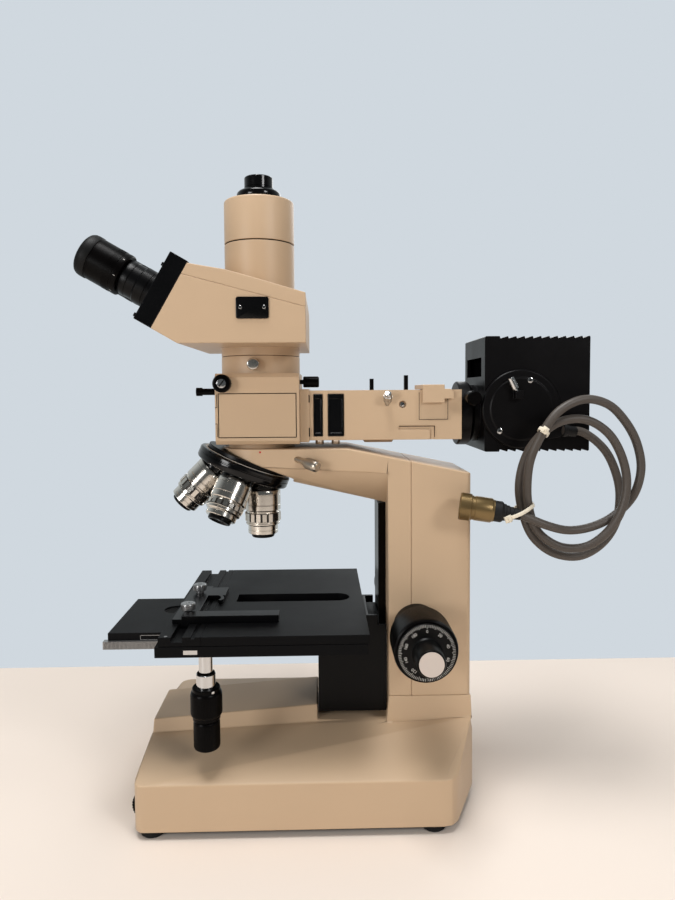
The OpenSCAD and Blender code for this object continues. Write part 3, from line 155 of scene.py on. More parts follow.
# Lamp cable
# A grey brown three-core lead in a soft sheath. It leaves the lamp socket, hangs in a loose coil of
# nearly three turns beside the lamphouse and ends in a free plug, stiff enough to hold that shape.
def finish(name, rgb, roughness, metallic=0.0, mottle=0.04, mottle_scale=16, grain=0.06, grain_scale=2600,
           coat=0.0, rough_spread=0.06, shine=0.5):
    """A surface with slow changes of tone, a fine grain and uneven gloss, all in the object's own space."""
    made = bpy.data.materials.new(name)
    made.use_nodes = True
    tree = made.node_tree
    shader = tree.nodes["Principled BSDF"]
    for word, value in (("Metallic", metallic), ("Coat Weight", coat), ("Specular IOR Level", shine),
                        ("Coat Roughness", 0.15)):
        shader.inputs[word].default_value = value
    place = shader_node(tree, "TexCoord")
    slow = shader_node(tree, "TexNoise", {"Scale": mottle_scale, "Detail": 5})
    tone = tree.nodes.new("ShaderNodeMix")
    tone.data_type = "RGBA"
    tone.inputs["A"].default_value = tuple(v * (1 - mottle) for v in rgb[:3]) + (1,)
    tone.inputs["B"].default_value = tuple(min(1, v * (1 + mottle)) for v in rgb[:3]) + (1,)
    gloss = shader_node(tree, "MapRange", {"To Min": roughness - rough_spread, "To Max": roughness + rough_spread})
    fine = shader_node(tree, "TexNoise", {"Scale": grain_scale, "Detail": 3})
    relief = shader_node(tree, "Bump", {"Strength": grain, "Distance": 0.0003})
    wired(tree, (place.outputs["Object"], slow.inputs["Vector"]), (slow.outputs["Fac"], tone.inputs["Factor"]),
          (tone.outputs["Result"], shader.inputs["Base Color"]), (slow.outputs["Fac"], gloss.inputs["Value"]),
          (gloss.outputs["Result"], shader.inputs["Roughness"]), (place.outputs["Object"], fine.inputs["Vector"]),
          (fine.outputs["Fac"], relief.inputs["Height"]), (relief.outputs["Normal"], shader.inputs["Normal"]))
    return made


cable_across = 0.0065
gland_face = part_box("socket_cover")[1].x
cable_points = [(gland_face + 0.0003, -0.043, 0.288)] + [(x / 1000, y / 1000, z / 1000) for x, y, z in (
    (190, -43, 286), (206, -43, 273), (216, -41, 255), (220, -40, 236), (217, -40, 215), (205, -42, 199),
    (187, -43, 190), (167, -43, 193), (151, -43, 206), (143, -43, 225), (139, -47, 245), (141, -52, 265),
    (148, -59, 282), (164, -61, 295), (184, -60, 297), (202, -58, 287), (213, -57, 270), (218, -56, 250),
    (215, -56, 230), (205, -55, 212), (189, -53, 200), (169, -52, 200), (152, -52, 212), (145, -52, 231),
    (142, -58, 251), (143, -64, 270), (151, -67, 289), (163, -66, 304), (182, -63, 312), (202, -58, 308),
    (217, -54, 295), (228, -50, 278), (232, -49, 258), (227, -48, 238), (213, -48, 223), (195, -51, 215),
    (175, -55, 213), (156, -60, 218), (137, -59, 226))]


def smooth_run(points, steps):
    """A curve that passes through every point, with the same rule as the solid's."""
    run = []
    for i in range(len(points) - 1):
        b, c = Vector(points[i]), Vector(points[i + 1])
        a = Vector(points[i - 1]) if i else 2 * b - c
        d = Vector(points[i + 2]) if i + 2 < len(points) else 2 * c - b
        for k in range(steps):
            t = k / steps
            run.append(0.5 * (2 * b + (c - a) * t + (2 * a - 5 * b + 4 * c - d) * t ** 2
                              + (3 * b - a - 3 * c + d) * t ** 3))
    return run + [Vector(points[-1])]


cable_run = smooth_run(cable_points, 10)
cable_line = bpy.data.curves.new("lamp_cable_sheath", "CURVE")
cable_line.dimensions = "3D"
cable_line.bevel_depth = cable_across / 2
cable_line.bevel_resolution = 6
cable_line.use_fill_caps = True
strand = cable_line.splines.new("POLY")
strand.points.add(len(cable_run) - 1)
for spot, at in zip(strand.points, cable_run):
    spot.co = (*at, 1)
strand.use_smooth = True
cable = link("lamp_cable_sheath", cable_line)
cable_sheath = finish("cable_sheath", colour(70, 63, 57), 0.5, mottle=0.1, mottle_scale=60, grain=0.15,
                      grain_scale=1500)
cable_line.materials.append(cable_sheath)
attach(cable, "stand")
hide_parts("lamp_cable")


# Cable ties
# Two cream nylon ties hold the turns of the cable together, one near the lamphouse and one at the
# plug: a flat band pulled through a square head, with its cut tail standing out.
def set_piece(name, mesh, body, slot, *materials, place=None, stands_for=(), sharp=32):
    """Puts a made mesh in its place on a body of the model."""
    if place is not None:
        mesh.transform(place)
    if materials:
        mesh.materials.clear()
        for material in materials:
            mesh.materials.append(material)
    if sharp is not None:
        mesh.shade_smooth()
        mesh.set_sharp_from_angle(angle=math.radians(sharp))
    thing = link(name, mesh)
    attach(thing, body)
    if stands_for:
        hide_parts(*stands_for)
    return thing


def as_mesh(name, shape):
    """Ends the making of a shape and gives its mesh."""
    mesh = bpy.data.meshes.new(name)
    shape.to_mesh(mesh)
    shape.free()
    return mesh


def tied(name, centre, turn, loop, lock, tail, stands_for=()):
    """A flat band along a closed loop of points, in millimetres and degrees, with its head outside one of them."""
    half_thick, half_wide = 0.5, 1.4
    head_high, head_half_side, head_half_wide = 3.5, 2.3, 2.5
    tail_half_side, tail_half_wide = 0.5, 1.3
    corners = ((-half_thick, -half_wide), (half_thick, -half_wide), (half_thick, half_wide), (-half_thick, half_wide))
    loop = [Vector(p) for p in loop]
    for _ in range(2):
        loop = [a.lerp(b, part) for a, b in zip(loop, loop[1:] + loop[:1]) for part in (0.25, 0.75)]
    along = [(b - a).normalized() for a, b in zip(loop[-1:] + loop[:-1], loop[1:] + loop[:1])]
    outwards = [Vector((t.y, -t.x)) for t in along]
    shape = bmesh.new()
    rounds = [[shape.verts.new((*(p + o * off), height)) for p, o in zip(loop, outwards)] for off, height in corners]
    for a, b in zip(rounds, rounds[1:] + rounds[:1]):
        for k in range(len(a)):
            shape.faces.new((a[k], a[(k + 1) % len(a)], b[(k + 1) % len(b)], b[k]))
    spot = lock * 4
    for low, high in (
            ((-0.1, -head_half_side, -head_half_wide), (head_high, head_half_side, head_half_wide)),
            ((head_high - 0.1, -tail_half_side, -tail_half_wide),
             (head_high - 0.1 + tail, tail_half_side, tail_half_wide))):
        block = bmesh.ops.create_cube(shape, size=1)["verts"]
        for v in block:
            out, side, height = (lo + (v.co[i] + 0.5) * (hi - lo) for i, (lo, hi) in enumerate(zip(low, high)))
            v.co = Vector((*(loop[spot] + outwards[spot] * out + along[spot] * side), height))
    sharp_edges = [e for e in shape.edges if e.calc_face_angle(0) > 0.9]
    bmesh.ops.bevel(shape, geom=sharp_edges, offset=0.25, segments=2, affect="EDGES", profile=0.5)
    bmesh.ops.recalc_face_normals(shape, faces=shape.faces)
    mesh = as_mesh(name, shape)
    turn_matrix = Euler([math.radians(a) for a in turn]).to_matrix().to_4x4()
    mesh.transform(Matrix.Translation(Vector(centre) / 1000) @ turn_matrix @ Matrix.Scale(0.001, 4))
    return set_piece(name, mesh, "stand", "tie_plastic", tie_nylon, stands_for=stands_for)


tie_nylon = finish("tie_nylon", colour(226, 216, 196), 0.4, mottle=0.05, grain=0.05)
tie_inside = cable_across * 500 + 0.6
strands_half_apart = 3.7
two_strands = [(side * (strands_half_apart + tie_inside * math.cos(math.radians(a))),
                side * tie_inside * math.sin(math.radians(a))) for side in (1, -1) for a in range(-90, 91, 15)]
plug_and_strands = [
    (-11.7, -4.4), (-10.9, -7.7), (-7.5, -10.1), (-2.6, -10.9), (2.4, -9.7), (7.9, -6.4), (12.2, -2.4), (13.6, 1.5),
    (12.9, 5.3), (10.1, 10.9), (7.8, 13.7), (4.6, 13.9), (1.2, 11.2), (-5.4, 2.9), (-9.9, -1.6)]
tie_upper = tied("cable_tie_upper", (151.9, -63.6, 288.1), (-36.5, -13.6, -105), two_strands, 6, 5.2,
                 stands_for=["cable_ties"])
tie_lower = tied("cable_tie_lower", (136.5, -53, 227.7), (0, -22.5, 0), plug_and_strands, 1, 2.2)

# Free plug
# An olive bronze connector with a knurled coupling ring, a turned barrel and a black rubber boot
# that tapers onto the cable.
plug_bronze = finish("plug_bronze", colour(128, 107, 71), 0.32, metallic=0.75, mottle=0.08, mottle_scale=120,
                     grain=0.05)
boot_rubber = finish("boot_rubber", colour(12, 12, 13), 0.6, grain=0.2, shine=0.3)
plug_tip = Vector((0.0923, -0.051, 0.2319))
plug_end = Vector((0.137, -0.059, 0.226))
plug_long = (plug_end - plug_tip).length * 1000
plug_place = moved(*plug_tip) @ facing(plug_end - plug_tip)


def set_turned(name, profile, body, slot, material, place, steps=96, closed=False, stands_for=()):
    """A round piece in its place, from pairs of radius and height in millimetres along its outline."""
    shape = bmesh.new()
    rings = []
    for radius, height in profile:
        count = steps if radius > 1e-6 else 1
        angles = [2 * math.pi * k / count for k in range(count)]
        rings.append([shape.verts.new((radius / 1000 * math.cos(a), radius / 1000 * math.sin(a), height / 1000))
                      for a in angles])
    for a, b in zip(rings, rings[1:] + (rings[:1] if closed else [])):
        for k in range(steps):
            corners = []
            for v in (a[k % len(a)], a[(k + 1) % len(a)], b[(k + 1) % len(b)], b[k % len(b)]):
                if v not in corners:
                    corners.append(v)
            if len(corners) > 2:
                shape.faces.new(corners)
    bmesh.ops.recalc_face_normals(shape, faces=shape.faces)
    return set_piece(name, as_mesh(name, shape), body, slot, material, place=place, stands_for=stands_for)


def ring_tree():
    """Bars set round a circle: count, radius, and the size of a bar outwards, round and along."""
    tree = bpy.data.node_groups.new("bars_round_a_ring", "GeometryNodeTree")
    tree.interface.new_socket("Geometry", in_out="OUTPUT", socket_type="NodeSocketGeometry")
    for word, kind in (("Count", "Int"), ("Radius", "Float"), ("Outwards", "Float"), ("Round", "Float"),
                       ("Along", "Float"), ("Finish", "Material")):
        tree.interface.new_socket(word, in_out="INPUT", socket_type="NodeSocket" + kind)
    nodes = tree.nodes
    given, result = nodes.new("NodeGroupInput"), nodes.new("NodeGroupOutput")
    circle, bar = nodes.new("GeometryNodeMeshCircle"), nodes.new("GeometryNodeMeshCube")
    size, spot = nodes.new("ShaderNodeCombineXYZ"), nodes.new("GeometryNodeInputPosition")
    turn = nodes.new("FunctionNodeAlignRotationToVector")
    turn.axis = "X"
    copies, real = nodes.new("GeometryNodeInstanceOnPoints"), nodes.new("GeometryNodeRealizeInstances")
    coat = nodes.new("GeometryNodeSetMaterial")
    wired(tree, (given.outputs["Count"], circle.inputs["Vertices"]),
          (given.outputs["Radius"], circle.inputs["Radius"]), (given.outputs["Outwards"], size.inputs[0]),
          (given.outputs["Round"], size.inputs[1]),
          (given.outputs["Along"], size.inputs[2]), (size.outputs[0], bar.inputs["Size"]),
          (spot.outputs[0], turn.inputs["Vector"]), (circle.outputs["Mesh"], copies.inputs["Points"]),
          (bar.outputs["Mesh"], copies.inputs["Instance"]), (turn.outputs["Rotation"], copies.inputs["Rotation"]),
          (copies.outputs["Instances"], real.inputs["Geometry"]), (real.outputs["Geometry"], coat.inputs["Geometry"]),
          (given.outputs["Finish"], coat.inputs["Material"]), (coat.outputs["Geometry"], result.inputs["Geometry"]))
    return tree


def plain_mesh(thing):
    """The mesh of an object with all its rules applied. The object itself goes."""
    graph = bpy.context.evaluated_depsgraph_get()
    mesh = bpy.data.meshes.new_from_object(thing.evaluated_get(graph), depsgraph=graph)
    bpy.data.objects.remove(thing)
    return mesh


def grown(tree, name, **given):
    """The plain mesh that a tree makes from its named inputs."""
    host = link(name, bpy.data.meshes.new(name))
    rule = host.modifiers.new("rule", "NODES")
    rule.node_group = tree
    for socket in tree.interface.items_tree:
        if socket.item_type == "SOCKET" and socket.in_out == "INPUT" and socket.name in given:
            rule[socket.identifier] = given[socket.name]
    mesh = plain_mesh(host)
    mesh.name = name
    return mesh


bars_round = ring_tree()


def knurl(name, count, radius, low, high, material, body, slot, place, deep=0.5, wide=None):
    """Straight knurling round a turned piece, from one height to another in millimetres."""
    proud, tooth_share = 0.12, 0.55
    mesh = grown(bars_round, name, Count=count, Radius=(radius - deep / 2 + proud) / 1000, Outwards=deep / 1000,
                 Round=wide or tooth_share * 2 * math.pi * radius / count / 1000, Along=(high - low) / 1000,
                 Finish=material)
    mesh.transform(moved(0, 0, (low + high) / 2000))
    return set_piece(name, mesh, body, slot, place=place, sharp=20)


barrel = set_turned("plug_barrel", [
    (0, 4), (6.6, 4), (6.6, 1.2), (7.2, 0.3), (9.8, 0.3), (10.2, 0.9), (10.2, 8.4), (9.8, 8.9), (9.35, 9.1),
    (9.35, 9.9), (9.0, 10.1), (9.0, 11.6), (9.3, 11.9), (9.3, 23.6), (8.9, 24.4), (8.3, 25.2), (8.3, 26.0),
    (0, 26.0)], "stand", "plug_metal", plug_bronze, plug_place, stands_for=["plug_connector"])
ring = knurl("plug_ring_knurl", 60, 10.2, 1.4, 7.9, plug_bronze, "stand", "plug_metal", plug_place)
boot = set_turned("plug_boot", [
    (0, 25.9), (7.9, 25.9), (7.9, 31.4), (7.2, 32.4), (6.4, 33.0), (6.3, 34.5), (5.6, 35.0), (5.5, 37.0),
    (4.9, 37.5), (4.8, 40.0), (4.3, 40.5), (4.1, plug_long - 0.4), (3.4, plug_long), (0, plug_long)],
    "stand", "rubber", boot_rubber, plug_place)

# Cable sleeve
# A short black rubber sleeve, pushed into the gland, keeps the lead from kinking where it leaves the
# socket. It narrows in steps towards its free end.
cable_start = Vector(cable_points[0])
sleeve_place = moved(*cable_start) @ facing(Vector(cable_points[1]) - cable_start)
set_turned("cable_sleeve", [
    (3.3, 0), (4.9, 0), (4.9, 2.2), (4.3, 3.0), (4.3, 4.2), (4.0, 4.6), (4.0, 9.6), (3.7, 10.1), (3.3, 10.1)],
    "stand", "rubber", boot_rubber, sleeve_place, steps=48, closed=True)

# Base
# The base is one thick casting with a sloping top and a raised ridge up to the column. It is sprayed
# with a smooth beige paint, and its edges are rounded by the thickness of the paint.
beige_paint = finish("beige_paint", colour(192, 165, 135), 0.42, mottle=0.04, mottle_scale=9, grain=0.06,
                     grain_scale=1400, shine=0.35)


def softened(node, name, width, material, body, slot, segments=2, first=None):
    """Stands for a solid of the model: the same form with its sharp edges rounded, in millimetres."""
    sharpest = 28
    shape = bmesh.new()
    shape.from_mesh(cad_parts[node].data)
    bmesh.ops.remove_doubles(shape, verts=shape.verts, dist=2e-6)
    bmesh.ops.dissolve_limit(shape, angle_limit=math.radians(0.6), verts=shape.verts, edges=shape.edges)
    if first:
        first(shape)
    mesh = as_mesh(name, shape)
    mesh.shade_smooth()
    thing = link(name, mesh)
    edges = thing.modifiers.new("edges", "BEVEL")
    edges.width = width / 1000
    edges.segments = segments
    edges.limit_method = "ANGLE"
    edges.angle_limit = math.radians(sharpest)
    edges.use_clamp_overlap = False
    edges.miter_outer = "MITER_ARC"
    thing.modifiers.new("even_light", "WEIGHTED_NORMAL").weight = 80
    return set_piece(name, plain_mesh(thing), body, slot, material, stands_for=[node], sharp=None)


def eased_slopes(shape):
    """Clears the slivers at the rear corners and makes each side slope one gently twisted surface."""
    rear_x, corner_y, near_enough, slope_foot_z, least_area = 0.1025, 0.0384, 0.0007, 0.05, 0.003
    corner = [v for v in shape.verts
              if v.co.x > rear_x and abs(abs(v.co.y) - corner_y) < near_enough and v.co.z > slope_foot_z]
    bmesh.ops.remove_doubles(shape, verts=corner, dist=0.0012)
    mark = shape.faces.layers.int.new("slope")
    for side in (-1, 1):
        slope = [f for f in shape.faces
                 if f.normal.y * side > 0.1 and f.normal.z > 0.9 and f.calc_area() > least_area]
        for f in bmesh.ops.triangulate(shape, faces=slope)["faces"]:
            f[mark] = side
        for _ in range(4):
            edges = {e for f in shape.faces if f[mark] == side for e in f.edges}
            bmesh.ops.subdivide_edges(shape, edges=list(edges), cuts=1, use_grid_fill=True)
        inner = [v for v in {v for f in shape.faces if f[mark] == side for v in f.verts}
                 if all(f[mark] == side for f in v.link_faces)]
        for _ in range(400):
            bmesh.ops.smooth_vert(shape, verts=inner, factor=1, use_axis_x=True, use_axis_y=True, use_axis_z=True)


softened("base_casting", "base_shell", 1.0, beige_paint, "stand", "beige_paint", segments=3, first=eased_slopes)

# Bottom plate and feet
# A black painted steel sheet closes the base from below. Four black rubber feet are screwed under
# it and carry the whole stand.
black_paint = finish("black_paint", colour(7, 7, 8), 0.3, mottle=0.25, mottle_scale=40, grain=0.08,
                     grain_scale=1800, shine=0.12)
foot_rubber = finish("foot_rubber", colour(14, 14, 14), 0.75, grain=0.25, grain_scale=3000, shine=0.25)


def paint(node, material):
    """Gives a solid of the model its finish."""
    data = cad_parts[node].data
    data.materials.clear()
    data.materials.append(material)


paint("base_plate", black_paint)
paint("rubber_feet", foot_rubber)

# Brightness wheel
# A small knurled wheel of black plastic, let into the front of the base at its near corner. It turns
# on a short spindle and sets the brightness of the lamp.
black_plastic = finish("black_plastic", colour(5, 4, 4), 0.3, mottle=0.25, mottle_scale=50, grain=0.06,
                       grain_scale=2200, shine=0.06)
paint("brightness_wheel", black_plastic)

# Arm and column
# The front of the column and the arm are one casting, and a second casting closes the column from
# behind along a fine seam. Both have the paint of the base.
softened("arm_casting", "arm_shell", 0.9, beige_paint, "stand", "beige_paint")
softened("column_cover", "column_cover_shell", 0.9, beige_paint, "stand", "beige_paint")

# Focusing slide
# A black dovetail guide is screwed to the front of the column. The coarse carriage runs on it, and
# the focusing block that carries the stage runs in the carriage.
steel = finish("bare_steel", colour(150, 150, 150), 0.35, metallic=0.9, mottle=0.08, mottle_scale=60, grain=0.08)
paint("guide_rail", black_paint)
paint("coarse_carriage", steel)
softened("focus_block", "focus_block_shell", 0.5, black_paint, "fine_block", "black_paint")

# Coarse focus knobs
# One large knob of hard black plastic on each side, with a fine knurl round its broad part. Both are
# fixed on one hollow shaft that runs across the column.
focus_axis = (Vector(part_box("coarse_knobs")[0]) + Vector(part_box("coarse_knobs")[1])) / 2
near_side = moved(*focus_axis) @ swung(90, "X")
far_side = moved(*focus_axis) @ swung(-90, "X")
coarse_outline = [(3.2, 38.5), (18, 38.5), (18, 54.2), (21.6, 56.2), (21.9, 59.3), (22.9, 60.2), (23.1, 60.8),
                  (23.1, 89.2), (22.7, 90.4), (21.8, 91), (3.2, 91)]
for side, place in (("near", near_side), ("far", far_side)):
    set_turned("coarse_knob_" + side, coarse_outline, "coarse_knobs", "black_plastic", black_plastic, place,
               stands_for=["coarse_knobs"] if side == "near" else [])
    knurl("coarse_knurl_" + side, 150, 23.1, 61.5, 88.8, black_plastic, "coarse_knobs", "black_plastic", place)

# Fine focus dials
# Each coarse knob is closed by a black dial with a hundred white graduations and ten numbers. A
# plain black hub with a white cap stands out of its middle.
dial_black = finish("dial_black", colour(7, 7, 7), 0.36, mottle=0.15, mottle_scale=60, grain=0.05, shine=0.14)
dial_white = finish("dial_white", colour(192, 188, 182), 0.5, mottle=0.04, grain=0.04)
cap_white = finish("cap_white", colour(200, 187, 177), 0.38, mottle=0.03, mottle_scale=90, grain=0.04)
fine_outline = [(0, 91.3), (20.1, 91.3), (20.7, 91.7), (20.7, 93.2), (20.2, 93.7), (12.2, 93.7), (11.2, 93.9),
                (10.3, 94.8), (10.0, 95.6), (10.0, 112.9), (9.6, 113.6), (0, 113.7)]
numbers, number_high, number_radius = 10, 0.003, 0.0155
for side, place in (("near", near_side), ("far", far_side)):
    set_turned("fine_dial_" + side, fine_outline, "fine_knobs", "black_plastic", dial_black, place,
               stands_for=["fine_knobs"] if side == "near" else [])
    for word, count, inner, outer in (("fine", 100, 18.3, 20.3), ("long", 20, 17.6, 20.3)):
        marks = grown(bars_round, "dial_marks", Count=count, Radius=(inner + outer) / 2000,
                      Outwards=(outer - inner) / 1000, Round=0.00034 if word == "fine" else 0.0004, Along=0.0001,
                      Finish=dial_white)
        marks.transform(moved(0, 0, 0.09372))
        set_piece("dial_marks_" + word + "_" + side, marks, "fine_knobs", "white_plastic", place=place)
    for i in range(numbers):
        words = bpy.data.curves.new("number", "FONT")
        words.body = str(i * 20)
        words.size = number_high
        words.align_x = words.align_y = "CENTER"
        words.extrude = 0.00004
        digits = plain_mesh(link("number", words))
        digits.transform(swung(-360 / numbers * i, "Z") @ moved(0, number_radius, 0.09374))
        set_piece("dial_number_%d_%s" % (i * 20, side), digits, "fine_knobs", "white_plastic", dial_white,
                  place=place)
paint("knob_caps", cap_white)

# Stage plates
# Milled aluminium plates, blackened and matt: a fixed lower plate with the chromed bearing tube of
# the knobs, a moving top plate with a round-ended slot, and the guide strip with its front shelf.
stage_black = finish("stage_black", colour(10, 10, 11), 0.46, mottle=0.18, mottle_scale=30, grain=0.1,
                     grain_scale=3200, shine=0.07)
chrome = finish("chrome", colour(205, 205, 205), 0.14, metallic=1.0, mottle=0.03, mottle_scale=80, grain=0.02,
                rough_spread=0.04)
softened("stage_base", "stage_base_shell", 0.35, stage_black, "fine_block", "stage_black")
softened("stage_top", "stage_top_shell", 0.35, stage_black, "cross_stage", "stage_black")
softened("holder_rail", "holder_rail_shell", 0.35, stage_black, "cross_stage", "stage_black")
paint("stage_rack", steel)
knob_axis = (Vector(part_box("x_knob")[0]) + Vector(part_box("x_knob")[1])) / 2
knob_place = moved(knob_axis.x, knob_axis.y, 0)
tube_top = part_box("stage_base")[0].z * 1000
set_turned("knob_bearing_sleeve", [
    (2.2, tube_top), (4.6, tube_top), (4.95, tube_top + 0.5), (4.95, tube_top + 12.9),
    (4.85, tube_top + 12.95)], "fine_block", "chrome", chrome, knob_place)

# Stage knobs
# Two black knobs on one upright spindle: the upper, larger one has a chromed collar and moves the
# holder across, the lower one drives the rack.
x_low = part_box("x_knob")[0].z * 1000
x_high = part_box("x_knob")[1].z * 1000
set_turned("x_knob_turned", [
    (2.2, x_low), (9.0, x_low), (9.8, x_low + 0.8), (9.9, x_low + 3), (11.0, x_low + 4.2), (11.2, x_low + 5),
    (11.2, x_high - 15.2), (10.6, x_high - 13.6), (9.9, x_high - 12.9), (9.9, x_high - 11.0),
    (9.4, x_high - 10.4), (6.9, x_high - 10.4)],
    "x_knob", "black_plastic", black_plastic, knob_place, stands_for=["x_knob"])
set_turned("x_knob_collar", [
    (6.9, x_high - 10.8), (6.9, x_high - 1.2), (6.5, x_high - 0.8)], "x_knob", "chrome", chrome, knob_place)
set_turned("x_knob_seat_ring", [
    (6.5, x_high - 1.0), (6.3, x_high - 0.2), (5.7, x_high), (2.2, x_high)],
    "x_knob", "black_plastic", black_plastic, knob_place)
set_turned("x_knob_grub_screw", [
    (1.1, -0.3), (1.1, 0.15), (0.8, 0.25), (0.4, 0.25), (0.3, 0), (0, 0)],
    "x_knob", "chrome", chrome,
    knob_place @ swung(-52, "Z") @ moved(0.0099, 0, (x_high - 12.0) / 1000) @ swung(90, "Y"), steps=24)
knurl("x_knob_knurl", 64, 11.2, x_low + 5.4, x_high - 15.8, black_plastic, "x_knob", "black_plastic", knob_place,
      deep=0.7)
lower_place = moved(knob_axis.x, knob_axis.y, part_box("y_knob")[0].z)
set_turned("y_knob_turned", [
    (0, 0), (8.2, 0), (9.1, 0.7), (9.35, 1.6), (9.35, 19.2), (8.8, 20.3), (2, 20.6), (2, 70), (0, 70)],
    "y_knob", "black_plastic", black_plastic, lower_place, stands_for=["y_knob"])
knurl("y_knob_knurl", 56, 9.35, 2, 18.8, black_plastic, "y_knob", "black_plastic", lower_place, deep=0.7)

# Specimen holder
# A black painted slider that runs on the guide strip, with a fixed arm and a curved finger for the
# specimen. It carries two knurled thumbscrews of bare steel.
softened("specimen_holder", "specimen_holder_shell", 0.3, black_paint, "specimen_holder", "black_paint")
for side in ("near", "far"):
    low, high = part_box("thumbscrew_" + side)
    place = moved((low.x + high.x) / 2, (low.y + high.y) / 2, high.z)
    set_turned("thumbscrew_%s_head" % side, [
        (1.5, -9), (1.5, -7.2), (3.4, -7.2), (3.4, -5.2), (5.1, -5.1), (5.5, -4.7), (5.5, -0.8), (5.2, -0.2),
        (4.8, 0), (1.5, 0), (1.3, -0.4), (0, -0.4)],
        "thumbscrew_" + side, "chrome", steel, place, steps=64, stands_for=["thumbscrew_" + side])
    knurl("thumbscrew_%s_knurl" % side, 44, 5.5, -4.4, -1.0, steel, "thumbscrew_" + side, "chrome", place, deep=0.4)

# Nosepiece
# The seat disc is screwed under the arm. Below it turns a black enamelled disc with a bright inner
# ring, which has a threaded seat for each of the four objectives.
optic_x = -0.0606
disc_tilt = 22.5
seat_depth = 0.0546
turret_place = moved(optic_x, 0, 0.2946) @ swung(disc_tilt, "Y")
gloss_black = finish("gloss_black", colour(6, 6, 7), 0.15, mottle=0.25, mottle_scale=60, grain=0.03, shine=0.3)
# The inner ring is chromed, but it is drawn light grey and nearly matt so that it shows bright from every side: a
# painted highlight.
rim_painted_highlight = finish("rim_painted_highlight", colour(214, 208, 200), 0.4, metallic=0.15, mottle=0.05, mottle_scale=70, grain=0.04)
softened("nosepiece_mount", "nosepiece_seat", 0.3, black_paint, "stand", "black_paint")
set_turned("nosepiece_disc", [
    (4.3, -35.2), (33.5, -35.2), (34.4, -35.0), (34.7, -34.4), (36.4, -34.2), (37.9, -34.6), (38.7, -35.6),
    (38.8, -37.4), (38.3, -37.8), (38.3, -38.4), (38.8, -38.8), (38.8, -42.4), (38.2, -43.4), (37.0, -44.0),
    (33.5, -44.6), (29.8, -46.2), (24, -48), (12, -49), (4.3, -49)],
    "nosepiece", "black_paint", gloss_black, turret_place, steps=128, stands_for=["nosepiece_turret"])
set_turned("nosepiece_highlight_ring", [
    (33.4, -35.3), (33.4, -34.3), (33.9, -34.0), (35.5, -34.0), (35.9, -34.4), (35.9, -35.3)],
    "nosepiece", "chrome", rim_painted_highlight, turret_place, steps=128, closed=True)
knurl("nosepiece_rim_knurl", 150, 38.55, -42.2, -39.0, gloss_black, "nosepiece", "black_paint", turret_place,
      deep=0.4)


def objective_place(turn):
    """The seat of an objective, at a turn of the disc, with the objective hanging below it."""
    return turret_place @ swung(turn, "Z") @ swung(-disc_tilt, "Y") @ moved(0, 0, -seat_depth)


for turn in (0, 90, 180, 270):
    set_turned("objective_seat_%d" % turn, [
        (9, 9), (13.7, 9), (13.9, 8.6), (13.9, 1.6), (13.4, 1.2), (13.4, 0.1), (9, 0.1)],
        "nosepiece", "black_paint", gloss_black, objective_place(turn))
set_turned("nosepiece_index_dot", [
    (0, 0.1), (0.75, 0.1), (0.9, 0), (0.9, -0.4)],
    "stand", "white_plastic", finish("index_red", colour(176, 38, 26), 0.4),
    moved(optic_x + 0.0012, -0.0320, 0.2722) @ swung(90, "X"), steps=24)

# Objectives
# Four long objectives of turned and chromed brass, with a castellated grip ring, fine grooves and a
# black ring round the front lens. One of them is shorter than the others.
nickel = finish("satin_nickel", colour(214, 209, 201), 0.17, metallic=1.0, mottle=0.06, mottle_scale=120, grain=0.03,
                grain_scale=5000, rough_spread=0.07)
# The floor between the pads of the nickel grip is darkened to dark grey: painted shade in the grooves.
painted_groove_shade = finish("painted_groove_shade", colour(46, 43, 40), 0.4, metallic=0.6, mottle=0.1, grain=0.05)
front_lens = finish("front_lens", colour(26, 34, 52), 0.05, coat=1.0, mottle=0.2, mottle_scale=200, grain=0.0,
                    rough_spread=0.02)
longest = 40.4
for node, turn, length in (("objective_in_use", 0, longest), ("objective_front", 180, 40.0),
                           ("objective_near", 270, 34.6), ("objective_far", 90, 39.0)):
    short = longest - length
    place = objective_place(turn)
    tip_place = place @ moved(0, 0, short / 1000)
    outline = [(9.9, 0), (13.2, 0), (14.1, -0.4), (14.6, -1.2), (14.6, -4.4), (14.35, -4.6), (14.35, -5.0),
               (14.6, -5.2), (14.6, -12.4), (14.3, -12.7), (14.3, -13.2), (14.6, -13.5), (14.6, -17.2),
               (14.1, -17.9), (13.5, -18.3), (13.5, -19.2), (13.75, -19.5)]
    outline += [(radius, height + short / 2) for radius, height in (
        (13.75, -27.0), (13.5, -27.3), (13.5, -27.9), (13.9, -28.2), (13.9, -29.2), (13.3, -29.8), (12.5, -30.1),
        (12.2, -30.4))]
    outline += [(radius, height + short) for radius, height in (
        (12.2, -33.6), (12.0, -33.8), (12.0, -34.2), (12.2, -34.4), (12.2, -36.9), (11.6, -37.4), (9.3, -37.6))]
    set_turned(node + "_barrel", outline, "nosepiece", "nickel", nickel, place, stands_for=[node])
    grip_end = short / 2 - 26.7
    set_turned(node + "_grip_floor", [(13.6, -19.6), (13.95, -19.8), (13.95, grip_end), (13.6, grip_end - 0.2)],
               "nosepiece", "nickel", painted_groove_shade, place)
    knurl(node + "_grip", 18, 14.5, grip_end + 0.2, -20.0, nickel, "nosepiece", "nickel", place, deep=0.9,
          wide=0.0034)
    set_turned(node + "_front_ring", [
        (9.3, -37.3), (9.3, -39.6), (8.8, -40.3), (7.6, -40.4), (6.9, -39.8), (4.6, -39.2), (4.4, -38.6), (0, -38.4)],
        "nosepiece", "black_paint", black_paint, tip_place)
    set_turned(node + "_front_lens", [(4.5, -38.7), (3.2, -39.1), (1.6, -39.3), (0, -39.35)],
               "nosepiece", "glass", front_lens, tip_place, steps=48)

